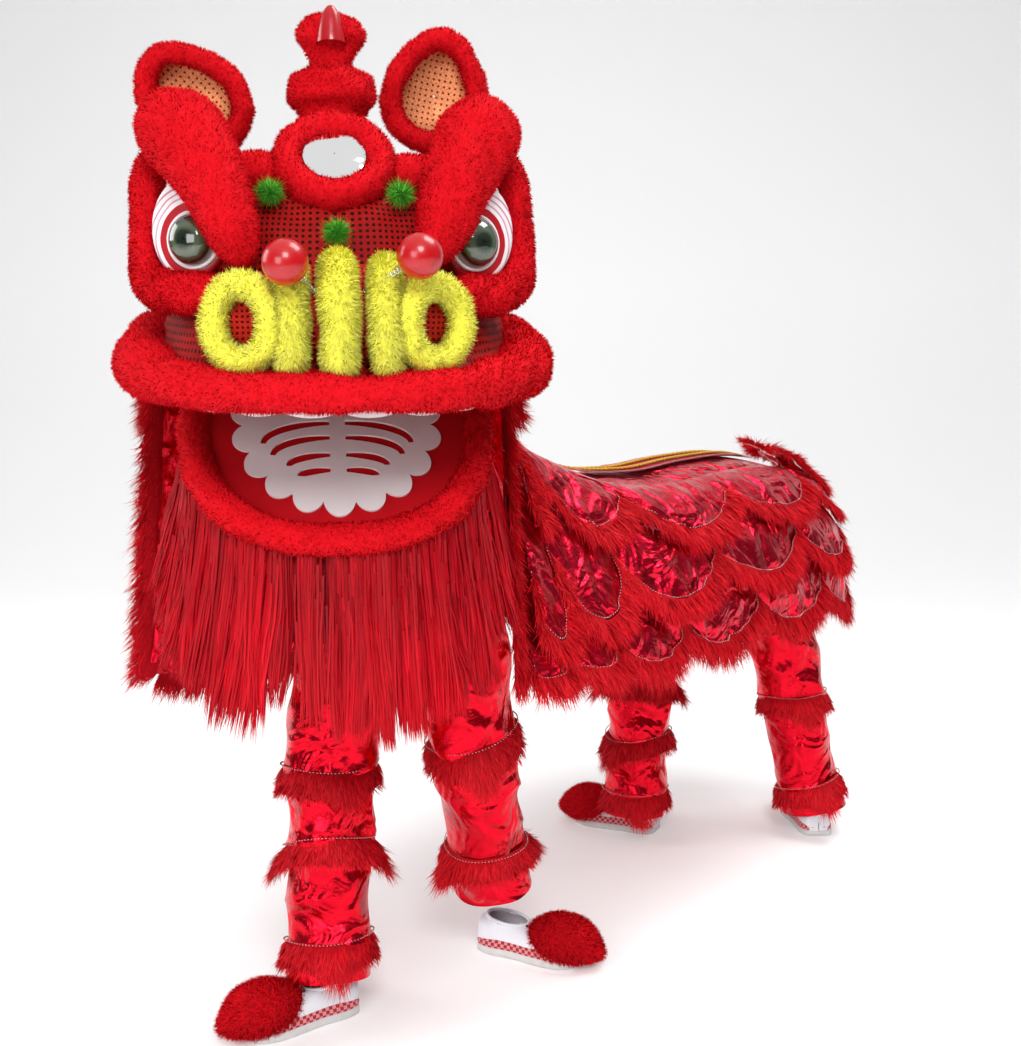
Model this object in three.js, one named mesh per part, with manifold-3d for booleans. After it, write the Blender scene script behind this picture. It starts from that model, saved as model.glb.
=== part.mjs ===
// A two-person lion dance costume, in millimetres, +Z up. The origin is the middle of the bar that carries
// the lion's head. The body runs back along +Y, and the head is turned towards +X from its front.
import * as THREE from "three";
import { mergeVertices } from "three/addons/utils/BufferGeometryUtils.js";
import Module from "manifold-3d";

const wasm = await Module();
wasm.setup();

// Driving dimensions of the head
const HEAD_HALF = 300; // half the width of the head at the cheeks
const HEAD_REACH = 380; // from the carrying bar forward to the lip
const HEAD_RISE = 250; // from the carrying bar up to the crown
const HEAD_TURN = 46; // degrees from straight ahead to where the head looks
const SHELL_WALL = 4;
const SEAT_GAP = 0.35; // between a piece and what it is fastened to
const LIP_RADIUS = 46;
const BROW_RADIUS = 60;
const CHEEK_RADIUS = 33;
const NOSE_HALF = 176;
const NOSE_DEPTH = 92;
const NOSE_HEIGHT = 84;
const NOSE_FUR_RADIUS = 25;
const EYE_RADIUS = 40;
const EYE_PANEL_HALF = 62;
const EYE_PANEL_HEIGHT = 78;
const EYE_PANEL_DEPTH = 60;
const EYE_TURN = 24; // degrees that each eye looks outwards
const MIRROR_RADIUS = 46;
const MIRROR_THICK = 6;
const MIRROR_RING_RADIUS = 26;
const MIRROR_TILT = 30; // degrees that the mirror leans back
const HORN_RADIUS = 72;
const HORN_HEIGHT = 250;
const HORN_TIP_RADIUS = 24;
const HORN_TIP_HEIGHT = 74;
const TINSEL_RADIUS = 29;
const BALL_RADIUS = 34;
const SPRING_RADIUS = 3.5;
const BAR_RADIUS = 12;
const TOOTH_DROP = 16;
const TOOTH_THICK = 3;
const EAR_HEIGHT = 222;
const EAR_HALF = 74;
const EAR_DEPTH = 44;
const EAR_WALL = 5;
const EAR_RIM_RADIUS = 21;
const EAR_LEAN_LEFT = 40; // degrees outwards from upright
const EAR_LEAN_RIGHT = 10;
const KNUCKLE_RADIUS = 9;
const KNUCKLE_LENGTH = 16;

// Driving dimensions of the jaw
const JAW_HALF = 238;
const JAW_LENGTH = 430; // from its hinge to the middle of the front roll
const JAW_DROP = 39; // degrees below level
const JAW_THICK = 5;
const JAW_ROLL_RADIUS = 27;
const TONGUE_HALF = 178;
const TONGUE_LENGTH = 272;
const TONGUE_THICK = 3;
const BEARD_LENGTH = 320;
const BEARD_THICK = 26;

// Driving dimensions of the body cloth
const BODY_LENGTH = 1600; // from the carrying bar to the rump
const BODY_HALF = 300;
const BACK_DEPTH = 330; // from the carrying bar down to the back
const SKIRT_DEPTH = 330; // from the back down to the hem
const CLOTH = 3;
const TIER_SEAT = 8; // how far a tier's top edge is let in before the cloth cuts it
const FUR_THICK = 16;
const STRIP_HALF = 52;
const STRIP_THICK = 3;
const TAIL_LENGTH = 215;
const TAIL_HALF = 88;
const TAIL_THICK = 22;

// Driving dimensions of the trousers and shoes
const FLOOR = 1280; // from the carrying bar down to the floor
const WAIST_HEIGHT = 855;
const HIP_HALF = 162;
const HIP_DEPTH = 122;
const CROTCH_HEIGHT = 700;
const THIGH_RADIUS = 100;
const FRILL_DROP = 62;
const FRILL_THICK = 13;
const FRILL_FLARE = 22;
const FRILL_LOCK = 10;
const FRILL_SEAT = 6; // how far its top edge is let in before the leg cuts it
const SHOE_LENGTH = 208;
const SHOE_HALF = 46;
const SHOE_HEIGHT = 72;
const SHOE_WALL = 4;
const SOLE_THICK = 16;
const PAW_LENGTH = 148;
const PAW_HALF = 56;
const PAW_HEIGHT = 100;

// The costume's colours and finishes
function finish(colour, roughness, metalness = 0) {
  return new THREE.MeshStandardMaterial({ color: colour, roughness, metalness });
}
const plushRed = finish(0xc8000f, 0.9);
const sequinRed = finish(0xb81a20, 0.4, 0.3);
const foilRed = finish(0xb0000f, 0.25, 0.8);
const furRed = finish(0xb5000c, 0.85);
const furYellow = finish(0xe8e23a, 0.9);
const glossRed = finish(0xc00010, 0.25);
const white = finish(0xe9e6e6, 0.5);
const eyeGlass = finish(0x1d2a1c, 0.08);
const mirrorSilver = finish(0xf2f2f4, 0.05, 1);
const tinselGreen = finish(0x0d8a2c, 0.3, 0.6);
const gildedCloth = finish(0xd9a21c, 0.4, 0.5);
const barWood = finish(0xb88a55, 0.6);

// Solids
const WELD = 1e-3;

function signedVolume(positions, triangles) {
  const [a, b, c] = [new THREE.Vector3(), new THREE.Vector3(), new THREE.Vector3()];
  let sum = 0;
  for (let i = 0; i < triangles.length; i += 3) {
    a.fromArray(positions, 3 * triangles[i]);
    b.fromArray(positions, 3 * triangles[i + 1]);
    c.fromArray(positions, 3 * triangles[i + 2]);
    sum += a.dot(b.cross(c));
  }
  return sum / 6;
}

// A closed geometry as a solid that faces out, without the triangles that closed up on themselves.
function solidOf(geometry) {
  const bare = new THREE.BufferGeometry().setAttribute("position", geometry.getAttribute("position"));
  bare.setIndex(geometry.index);
  const merged = mergeVertices(bare, WELD);
  const index = merged.index.array;
  const kept = [];
  for (let i = 0; i < index.length; i += 3) {
    const [a, b, c] = index.subarray(i, i + 3);
    if (a !== b && b !== c && c !== a) kept.push(a, b, c);
  }
  const positions = merged.attributes.position.array;
  if (signedVolume(positions, kept) < 0) kept.reverse();
  const mesh = new wasm.Mesh({ numProp: 3, vertProperties: positions, triVerts: new Uint32Array(kept) });
  return new wasm.Manifold(mesh);
}

function geometryOf(solid) {
  const { vertProperties, triVerts } = solid.getMesh();
  const geometry = new THREE.BufferGeometry();
  geometry.setAttribute("position", new THREE.BufferAttribute(new Float32Array(vertProperties), 3));
  geometry.setIndex(new THREE.BufferAttribute(new Uint32Array(triVerts), 1));
  geometry.computeVertexNormals();
  return geometry;
}

// The largest body of a solid that its cuts may have split.
function largest(solid) {
  return solid.decompose().reduce((best, body) => (body.volume() > best.volume() ? body : best));
}

function joined(...solids) {
  return solids.reduce((all, solid) => all.add(solid));
}

function cutBy(solid, ...cutters) {
  return largest(cutters.reduce((rest, cutter) => rest.subtract(cutter), solid));
}

function moved(solid, object) {
  object.updateMatrix();
  return solid.transform(object.matrix.toArray());
}

// A closed drum: place(turn, along, reach) puts its points, reach being 0 at the middle of an end.
function drum(sides, steps, place) {
  const geometry = new THREE.CylinderGeometry(1, 1, 1, sides, steps);
  const points = geometry.getAttribute("position");
  for (let i = 0; i < points.count; i++) {
    const [x, y, z] = [points.getX(i), points.getY(i), points.getZ(i)];
    const reach = Math.hypot(x, z) > 0.5 ? 1 : 0;
    const placed = place(Math.atan2(z, x), 0.5 - y, reach);
    points.setXYZ(i, placed.x, placed.y, placed.z);
  }
  return solidOf(geometry);
}

// A closed ring: place(turn, round) puts its points, both angles running once round.
function ring(steps, sides, place) {
  const geometry = new THREE.TorusGeometry(2, 1, sides, steps);
  const points = geometry.getAttribute("position");
  for (let i = 0; i < points.count; i++) {
    const turn = Math.atan2(points.getY(i), points.getX(i));
    const round = Math.atan2(points.getZ(i), Math.hypot(points.getX(i), points.getY(i)) - 2);
    const placed = place(turn, round);
    points.setXYZ(i, placed.x, placed.y, placed.z);
  }
  return solidOf(geometry);
}

// A closed sheet between two faces, face(i, j, 0) outside and face(i, j, 1) inside. A round sheet joins
// its last column to its first. Where sewn(i) is true, the top edge of column i is sewn to another.
function sheet(columns, rows, face, { round = false, sewn = () => false } = {}) {
  const positions = [];
  const triangles = [];
  const last = round ? columns - 1 : columns;
  const at = (i, j, side) => 2 * ((i % (last + 1)) * (rows + 1) + j) + side;
  for (let i = 0; i <= last; i++) {
    for (let j = 0; j <= rows; j++) {
      for (const side of [0, 1]) positions.push(...face(i, j, side).toArray());
    }
  }
  const quad = (a, b, c, d) => triangles.push(a, b, c, a, c, d);
  for (let i = 0; i < columns; i++) {
    for (let j = 0; j < rows; j++) {
      quad(at(i, j, 0), at(i, j + 1, 0), at(i + 1, j + 1, 0), at(i + 1, j, 0));
      quad(at(i, j, 1), at(i + 1, j, 1), at(i + 1, j + 1, 1), at(i, j + 1, 1));
    }
    quad(at(i, rows, 0), at(i, rows, 1), at(i + 1, rows, 1), at(i + 1, rows, 0));
    if (!sewn(i)) quad(at(i, 0, 0), at(i + 1, 0, 0), at(i + 1, 0, 1), at(i, 0, 1));
  }
  for (let j = 0; j < rows && !round; j++) {
    quad(at(0, j, 0), at(0, j, 1), at(0, j + 1, 1), at(0, j + 1, 0));
    quad(at(last, j, 0), at(last, j + 1, 0), at(last, j + 1, 1), at(last, j, 1));
  }
  const geometry = new THREE.BufferGeometry();
  geometry.setAttribute("position", new THREE.Float32BufferAttribute(positions, 3));
  geometry.setIndex(triangles);
  return solidOf(geometry);
}

// A value read off a row of evenly spaced ones, smoothly in between.
function along(values, share) {
  const points = values.map((value) => new THREE.Vector3(value, 0, 0));
  return new THREE.CatmullRomCurve3(points).getPoint(THREE.MathUtils.clamp(share, 0, 1)).x;
}

// Points and directions across a path, without twist.
function framesAlong(path, shares) {
  const side = new THREE.Vector3(0.31, 0.53, 0.79);
  return shares.map((share) => {
    const tangent = path.getTangentAt(share);
    side.addScaledVector(tangent, -side.dot(tangent)).normalize();
    return { centre: path.getPointAt(share), tangent, side: side.clone(), other: tangent.clone().cross(side) };
  });
}

// A padded roll through points, its radius in shares along it, with rounded ends unless it is cut flat.
// Its flat ends can be pushed out by reach.
function roll(points, radius, shares, { sides = 8, steps = 10, grow = 0, reach = grow, flat = false } = {}) {
  const path = new THREE.CatmullRomCurve3(points, false, "centripetal");
  const end = flat ? 0 : radius * shares[0] / path.getLength();
  const stops = flat ? [] : [[0, 0.5], [end * 0.35, 0.82]];
  for (let i = 0; i <= steps; i++) stops.push([end + ((1 - 2 * end) * i) / steps, 1]);
  if (!flat) stops.push([1 - end * 0.35, 0.82], [1, 0.5]);
  const frames = framesAlong(path, stops.map(([share]) => share));
  return drum(sides, stops.length - 1, (turn, down, out) => {
    const i = Math.round(down * (stops.length - 1));
    const { centre, tangent, side, other } = frames[i];
    const wide = out * (radius * along(shares, stops[i][0]) * stops[i][1] + grow);
    const push = i === 0 ? -reach : i === stops.length - 1 ? reach : 0;
    const point = centre.clone().addScaledVector(tangent, push);
    return point.addScaledVector(side, wide * Math.cos(turn)).addScaledVector(other, wide * Math.sin(turn));
  });
}

// A ball of few facets, stretched and placed.
function ball(radii, centre, { across = 12, down = 8, turn = 0 } = {}) {
  const place = new THREE.Object3D();
  place.position.copy(centre);
  place.rotation.z = THREE.MathUtils.degToRad(turn);
  place.scale.copy(radii);
  return moved(solidOf(new THREE.SphereGeometry(1, across, down)), place);
}

function block(width, depth, height, centre) {
  const place = new THREE.Object3D();
  place.position.copy(centre);
  return moved(solidOf(new THREE.BoxGeometry(width, depth, height)), place);
}

// The costume as a scene
const costume = new THREE.Group();
const head = new THREE.Group();
head.rotation.z = THREE.MathUtils.degToRad(HEAD_TURN);
costume.add(head);

function addPiece(name, solid, material, parent = head) {
  const mesh = new THREE.Mesh(geometryOf(solid), material);
  mesh.name = name;
  parent.add(mesh);
  return mesh;
}

// A point of the head in shares of its half width, reach and rise.
function atHead(across, ahead, up) {
  return new THREE.Vector3(across * HEAD_HALF, ahead * HEAD_REACH, up * HEAD_RISE);
}

// The head's shell: level sections from the lip up to the crown, in shares of the head's sizes.
// rise is how much higher the back of a section is than its front.
const SHELL_SECTIONS = [
  { up: -0.36, rise: 0.32, half: 1.0, front: 0.98, back: 0.66 },
  { up: -0.22, rise: 0.24, half: 0.95, front: 0.79, back: 0.7 },
  { up: -0.06, rise: 0.12, half: 0.91, front: 0.67, back: 0.74 },
  { up: 0.26, rise: 0, half: 0.89, front: 0.61, back: 0.75 },
  { up: 0.54, rise: 0, half: 0.83, front: 0.54, back: 0.71 },
  { up: 0.77, rise: 0, half: 0.68, front: 0.4, back: 0.6 },
  { up: 0.93, rise: 0, half: 0.44, front: 0.23, back: 0.42 },
  { up: 0.99, rise: 0, half: 0.14, front: 0.06, back: 0.18 },
];
const SHELL_SQUARENESS = 2 / 2.4;
const SHELL_SIDES = 18;

function rounded(value) {
  return Math.sign(value) * Math.abs(value) ** SHELL_SQUARENESS;
}

// A point of the shell at a turn round it, on a section, moved in by inset.
function shellPoint(turn, section, inset) {
  const { up, rise, half, front, back } = section;
  const y = rounded(Math.sin(turn));
  const reach = (y < 0 ? front : back) * HEAD_REACH - inset;
  const tilt = (rise * HEAD_RISE * y * reach) / ((front + back) * HEAD_REACH);
  const x = (half * HEAD_HALF - inset) * rounded(Math.cos(turn));
  return new THREE.Vector3(x, y * reach, up * HEAD_RISE + tilt);
}

function shellBlank(inset) {
  const rows = SHELL_SECTIONS.slice().reverse();
  return drum(SHELL_SIDES, rows.length - 1, (turn, down, reach) => {
    const i = Math.round(down * (rows.length - 1));
    const point = shellPoint(turn, rows[i], inset);
    if (i === 0) point.z -= inset;
    const beyond = i === rows.length - 1 ? (inset > 0 ? 0.4 : 0.02) * Math.sign(Math.abs(inset)) : 0;
    if (beyond) point.lerp(shellPoint(turn, rows[i - 1], inset), -beyond);
    return reach ? point : new THREE.Vector3(0, 0, rows[i].up * HEAD_RISE - (beyond ? 50 * beyond : inset));
  });
}

// What carries the ears and the jaw on the shell
const EAR_PIVOT = { across: 0.54, ahead: 0.26, up: 1.0 };
const EAR_SEAT_RADIUS = 13;
const JAW_HINGE = { ahead: 0.25, up: -0.42 };
const HINGE_HALF = HEAD_HALF * 0.84;
const LUG = { half: 0.965, top: -0.22 };

function earSeat(side) {
  const top = atHead(side * EAR_PIVOT.across, EAR_PIVOT.ahead, EAR_PIVOT.up);
  top.z -= KNUCKLE_RADIUS + SEAT_GAP;
  const foot = top.clone().setZ(top.z - HEAD_RISE * 0.3);
  return roll([foot, foot.clone().lerp(top, 0.5), top], EAR_SEAT_RADIUS, [1, 1, 1], { steps: 2, flat: true });
}

function jawLug(side, grow = 0) {
  const outer = HEAD_HALF * LUG.half;
  const inner = HINGE_HALF + SEAT_GAP;
  const top = HEAD_RISE * LUG.top;
  const foot = HEAD_RISE * JAW_HINGE.up - KNUCKLE_RADIUS;
  const middle = (side * (outer + inner)) / 2;
  const centre = new THREE.Vector3(middle, HEAD_REACH * JAW_HINGE.ahead, (top + foot) / 2);
  return block(outer - inner + 2 * grow, 2 * (KNUCKLE_RADIUS + grow), top - foot + 2 * grow, centre);
}

const shellHollow = shellBlank(SHELL_WALL);
const shell = joined(
  shellBlank(0).subtract(shellHollow),
  ...[-1, 1].map((side) => earSeat(side).subtract(shellHollow)),
  ...[-1, 1].map((side) => jawLug(side)),
);
const shellGrown = joined(shellBlank(-SEAT_GAP), ...[-1, 1].map((side) => jawLug(side, SEAT_GAP)));
addPiece("head_shell", largest(shell), sequinRed);

// The bar that the dancer in front carries the head by
const barHalf = HEAD_HALF * 0.95;
const bar = roll([-1, 0, 1].map((side) => new THREE.Vector3(side * barHalf, 0, 0)), BAR_RADIUS, [1, 1, 1], {
  steps: 2,
  flat: true,
});
addPiece("carry_bar", bar.intersect(shellBlank(SHELL_WALL + SEAT_GAP)), barWood);

// The lip roll, from behind one corner of the mouth round the front to the other
const LIP_PATH = [
  { across: 0.86, ahead: 0.34, up: -0.2, thick: 0.8 },
  { across: 0.98, ahead: 0.16, up: -0.25, thick: 1.1 },
  { across: 1.01, ahead: -0.08, up: -0.36, thick: 1.18 },
  { across: 0.97, ahead: -0.44, up: -0.46, thick: 0.92 },
  { across: 0.73, ahead: -0.76, up: -0.54, thick: 0.74 },
  { across: 0.38, ahead: -0.96, up: -0.57, thick: 0.66 },
  { across: 0, ahead: -1.01, up: -0.575, thick: 0.65 },
];

// A table's row for one side as the whole path from side to side.
function bothSides(rows) {
  const left = rows.slice(0, -1).reverse().map((row) => ({ ...row, across: -row.across }));
  return [...rows, ...left];
}

function rowsToPoints(rows, side = 1) {
  return rows.map(({ across, ahead, up }) => atHead(side * across, ahead, up));
}

function lipBlank(grow) {
  const rows = bothSides(LIP_PATH);
  return roll(rowsToPoints(rows), LIP_RADIUS, rows.map((row) => row.thick), { sides: 7, steps: 12, grow });
}
addPiece("lip_roll", cutBy(lipBlank(0), shellGrown), plushRed);
const lipGrown = lipBlank(SEAT_GAP);

// The upper teeth: a scalloped strip that hangs inside the lip
const TEETH = 9;
const TEETH_SPAN = 0.5; // the share of the lip's length that they fill
const POINTS_A_TOOTH = 3;

const lipLine = new THREE.CatmullRomCurve3(rowsToPoints(bothSides(LIP_PATH)), false, "centripetal");
const TEETH_INSET = 0.94; // how far inside the lip's middle line they hang

const teeth = sheet(TEETH * POINTS_A_TOOTH, 1, (i, j, side) => {
  const scallop = Math.abs(Math.sin((i * Math.PI) / POINTS_A_TOOTH));
  const point = lipLine.getPointAt(0.5 + TEETH_SPAN * (i / (TEETH * POINTS_A_TOOTH) - 0.5));
  point.multiply(new THREE.Vector3(TEETH_INSET, TEETH_INSET, 1)).multiplyScalar(1 - (side * TOOTH_THICK) / HEAD_REACH);
  point.z -= j === 0 ? TOOTH_THICK : LIP_RADIUS * 0.65 + TOOTH_DROP * (0.4 + 0.6 * scallop);
  return point;
});
addPiece("upper_teeth", cutBy(teeth, shellGrown, lipGrown), white);

// The cheek and brow rolls round each eye
const CHEEK_PATH = [
  { across: 0.95, ahead: -0.24, up: 0.93, thick: 0.7 },
  { across: 0.97, ahead: -0.28, up: 0.7, thick: 0.76 },
  { across: 0.99, ahead: -0.3, up: 0.37, thick: 0.84 },
  { across: 0.95, ahead: -0.37, up: 0.1, thick: 1.0 },
  { across: 0.79, ahead: -0.51, up: 0.01, thick: 1.0 },
  { across: 0.57, ahead: -0.62, up: 0.02, thick: 0.9 },
];
const BROW_PATH = [
  { across: 0.46, ahead: -0.69, up: 0.16, thick: 0.5 },
  { across: 0.54, ahead: -0.65, up: 0.44, thick: 0.76 },
  { across: 0.64, ahead: -0.56, up: 0.74, thick: 1.0 },
  { across: 0.76, ahead: -0.43, up: 0.99, thick: 1.08 },
  { across: 0.88, ahead: -0.28, up: 1.06, thick: 0.92 },
];

function pathRoll(rows, side, radius, options) {
  return roll(rowsToPoints(rows, side), radius, rows.map((row) => row.thick), options);
}

// The panel behind each eye, square to where the eye looks
const EYE_CENTRE = { across: 0.715, ahead: -0.5, up: 0.34 };

function eyeFrame(side) {
  const frame = new THREE.Object3D();
  frame.position.copy(atHead(side * EYE_CENTRE.across, EYE_CENTRE.ahead, EYE_CENTRE.up));
  frame.rotation.z = THREE.MathUtils.degToRad(side * EYE_TURN);
  return frame;
}

function eyePanelBlank(side, grow) {
  const shape = new THREE.CylinderGeometry(1, 1, 1, 14);
  const lie = new THREE.Object3D();
  lie.position.set(side * 10, EYE_PANEL_DEPTH / 2, EYE_PANEL_HEIGHT * 0.22);
  lie.scale.set(EYE_PANEL_HALF + grow, EYE_PANEL_DEPTH + 2 * grow, EYE_PANEL_HEIGHT + grow);
  return moved(moved(solidOf(shape), lie), eyeFrame(side));
}

function eyeballBlank(side) {
  const whole = ball(new THREE.Vector3(EYE_RADIUS, EYE_RADIUS * 0.72, EYE_RADIUS), new THREE.Vector3());
  return moved(whole, eyeFrame(side));
}

for (const [name, side] of [["left", -1], ["right", 1]]) {
  const browBlank = (grow) => pathRoll(BROW_PATH, side, BROW_RADIUS, { sides: 8, steps: 6, grow });
  const cheekBlank = (grow) => pathRoll(CHEEK_PATH, side, CHEEK_RADIUS, { sides: 6, steps: 8, grow });
  const browGrown = browBlank(SEAT_GAP);
  const cheekGrown = cheekBlank(SEAT_GAP);
  addPiece(`brow_${name}`, cutBy(browBlank(0), shellGrown), plushRed);
  addPiece(`cheek_${name}`, cutBy(cheekBlank(0), shellGrown, lipGrown, browGrown), plushRed);
  const panel = cutBy(eyePanelBlank(side, 0), shellGrown, browGrown, cheekGrown);
  addPiece(`eye_panel_${name}`, panel, white);
  const eyeball = cutBy(eyeballBlank(side), eyePanelBlank(side, SEAT_GAP), browGrown, cheekGrown);
  addPiece(`eyeball_${name}`, eyeball, eyeGlass);
}

// The nose: a pad with fur rolls over it, and a fur ring round each nostril
const NOSE_CENTRE = { ahead: -0.69, up: -0.15 };

function noseBlank(grow) {
  const radii = new THREE.Vector3(NOSE_HALF + grow, NOSE_DEPTH + grow, NOSE_HEIGHT + grow);
  return ball(radii, atHead(0, NOSE_CENTRE.ahead, NOSE_CENTRE.up), { across: 14, down: 8 });
}
addPiece("nose_pad", cutBy(noseBlank(0), shellGrown, lipGrown), sequinRed);
const noseGrown = noseBlank(SEAT_GAP);

// How a fur bar runs down over the pad, in shares of the pad's depth and height from its middle.
const NOSE_BAR = [
  { out: 0.28, up: 1.12 },
  { out: 0.82, up: 0.78 },
  { out: 1.12, up: 0.12 },
  { out: 1.14, up: -0.45 },
  { out: 0.95, up: -0.92 },
];

function noseBar(across, size, thick, grow = 0) {
  const points = NOSE_BAR.map(({ out, up }) => {
    const point = atHead(0, NOSE_CENTRE.ahead, NOSE_CENTRE.up);
    return point.add(new THREE.Vector3(across * NOSE_HALF, -out * size * NOSE_DEPTH, up * size * NOSE_HEIGHT));
  });
  return roll(points, NOSE_FUR_RADIUS * thick, [1, 1, 1], { sides: 6, steps: 4, grow });
}

// The ring round a nostril, in shares of the nose's half width, depth and height.
const NOSTRIL = { across: 0.8, half: 0.24, height: 0.62, out: 0.78, slant: 0.4, thick: 0.8 };

function nostrilRing(side) {
  const centre = atHead(0, NOSE_CENTRE.ahead, NOSE_CENTRE.up);
  return ring(10, 6, (turn, round) => {
    const wide = NOSE_FUR_RADIUS * NOSTRIL.thick;
    const out = NOSTRIL.out - NOSTRIL.slant * Math.cos(turn);
    const reach = NOSE_HALF * NOSTRIL.half + wide * Math.cos(round);
    const x = NOSE_HALF * NOSTRIL.across + reach * Math.cos(turn);
    const z = (NOSE_HEIGHT * NOSTRIL.height + wide * Math.cos(round)) * Math.sin(turn);
    return new THREE.Vector3(side * x, -out * NOSE_DEPTH - wide * Math.sin(round), z).add(centre);
  });
}

const CENTRE_BAR = { size: 1.08, thick: 1.0 };
const SIDE_BAR = { across: 0.41, size: 1.0, thick: 0.85 };
const centreBar = (grow) => noseBar(0, CENTRE_BAR.size, CENTRE_BAR.thick, grow);
const sideBar = (side, grow) => noseBar(side * SIDE_BAR.across, SIDE_BAR.size, SIDE_BAR.thick, grow);

addPiece("nose_fur_centre", cutBy(centreBar(0), shellGrown, noseGrown, lipGrown), furYellow);
for (const [name, side] of [["left", -1], ["right", 1]]) {
  const fur = joined(sideBar(side, 0), nostrilRing(side));
  addPiece(`nose_fur_${name}`, cutBy(fur, shellGrown, noseGrown, lipGrown), furYellow);
}

// The mirror in its fur ring on the forehead
const MIRROR_CENTRE = { across: 0, ahead: -0.365, up: 0.79 };

function onForehead(solid) {
  const frame = new THREE.Object3D();
  frame.position.copy(atHead(MIRROR_CENTRE.across, MIRROR_CENTRE.ahead, MIRROR_CENTRE.up));
  frame.rotation.x = THREE.MathUtils.degToRad(90 - MIRROR_TILT);
  return moved(solid, frame);
}

function mirrorRingBlank(grow) {
  const middle = MIRROR_RADIUS + SEAT_GAP + MIRROR_RING_RADIUS;
  return onForehead(
    ring(14, 6, (turn, round) => {
      const reach = middle + (MIRROR_RING_RADIUS + grow) * Math.cos(round);
      const up = (MIRROR_RING_RADIUS + grow) * 1.25 * Math.sin(round);
      return new THREE.Vector3(reach * Math.cos(turn), reach * Math.sin(turn), up);
    }),
  );
}

// The padded lobe each side of the mirror's ring, sewn to it.
const LOBE = { across: 0.39, ahead: -0.36, up: 0.78, half: 40, depth: 34, height: 30, turn: 25 };

function mirrorLobe(side, grow) {
  const radii = new THREE.Vector3(LOBE.half + grow, LOBE.depth + grow, LOBE.height + grow);
  const centre = atHead(side * LOBE.across, LOBE.ahead, LOBE.up);
  return ball(radii, centre, { across: 8, down: 5, turn: side * LOBE.turn });
}
const crestBlank = (grow) => joined(mirrorRingBlank(grow), mirrorLobe(-1, grow), mirrorLobe(1, grow));
addPiece("mirror_ring", cutBy(crestBlank(0), shellGrown), plushRed);

const mirrorDisc = solidOf(new THREE.CylinderGeometry(MIRROR_RADIUS, MIRROR_RADIUS, MIRROR_THICK, 16));
const lyingDisc = new THREE.Object3D();
lyingDisc.rotation.x = Math.PI / 2;
const mirror = onForehead(moved(mirrorDisc, lyingDisc));
addPiece("mirror", cutBy(mirror, shellGrown, crestBlank(SEAT_GAP)), mirrorSilver);

// The horn: padded bulges one above the other, and a pointed tip
const HORN_CENTRE = { ahead: 0.06, up: 0.9 };
const HORN_PROFILE = [
  { wide: 0.7, up: 0 },
  { wide: 0.68, up: 0.2 },
  { wide: 0.78, up: 0.36 },
  { wide: 1.02, up: 0.46 },
  { wide: 0.94, up: 0.58 },
  { wide: 0.5, up: 0.68 },
  { wide: 0.58, up: 0.76 },
  { wide: 0.8, up: 0.87 },
  { wide: 0.6, up: 0.97 },
  { wide: 0.2, up: 1 },
];
const HORN_FLATNESS = 0.78; // its depth as a share of its width

function hornBlank(grow) {
  const foot = atHead(0, HORN_CENTRE.ahead, HORN_CENTRE.up);
  return drum(10, HORN_PROFILE.length - 1, (turn, down, reach) => {
    const { wide, up } = HORN_PROFILE[Math.round((1 - down) * (HORN_PROFILE.length - 1))];
    const out = reach * (wide * HORN_RADIUS + grow);
    const height = up * HORN_HEIGHT + (up === 1 ? grow : 0);
    return new THREE.Vector3(out * Math.cos(turn), HORN_FLATNESS * out * Math.sin(turn), height).add(foot);
  });
}
addPiece("horn", cutBy(hornBlank(0), shellGrown, crestBlank(SEAT_GAP)), plushRed);

const hornTip = new THREE.Object3D();
hornTip.position.copy(atHead(0, HORN_CENTRE.ahead, HORN_CENTRE.up));
hornTip.position.add(new THREE.Vector3(0, -HORN_RADIUS * 0.5, HORN_HEIGHT * 0.92));
hornTip.rotation.x = Math.PI / 2 - 0.12;
const cone = solidOf(new THREE.ConeGeometry(HORN_TIP_RADIUS, HORN_TIP_HEIGHT, 12));
addPiece("horn_tip", cutBy(moved(cone, hornTip), hornBlank(SEAT_GAP)), glossRed);

// The tinsel pompoms, pinned to the forehead
const TINSEL = [
  { across: -0.33, ahead: -0.52, up: 0.6 },
  { across: 0.33, ahead: -0.52, up: 0.6 },
  { across: 0, ahead: -0.65, up: 0.35 },
];

TINSEL.forEach(({ across, ahead, up }, n) => {
  const geometry = new THREE.DodecahedronGeometry(TINSEL_RADIUS);
  const place = new THREE.Object3D();
  place.position.copy(atHead(across, ahead, up));
  const cutters = [shellGrown, noseGrown, crestBlank(SEAT_GAP), centreBar(SEAT_GAP)];
  for (const side of [-1, 1]) {
    cutters.push(pathRoll(BROW_PATH, side, BROW_RADIUS, { sides: 8, steps: 6, grow: SEAT_GAP }));
  }
  addPiece(`tinsel_pom_${n + 1}`, cutBy(moved(solidOf(geometry), place), ...cutters), tinselGreen);
});

// The feelers: a ball on a spring each side of the nose's middle bar
const FEELERS = [
  {
    name: "left",
    foot: { across: -0.115, ahead: -0.885, up: 0.0 },
    ball: { across: -0.25, ahead: -1.07, up: 0.16 },
  },
  {
    name: "right",
    foot: { across: 0.115, ahead: -0.885, up: 0.0 },
    ball: { across: 0.38, ahead: -1.07, up: 0.2 },
  },
];

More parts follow.
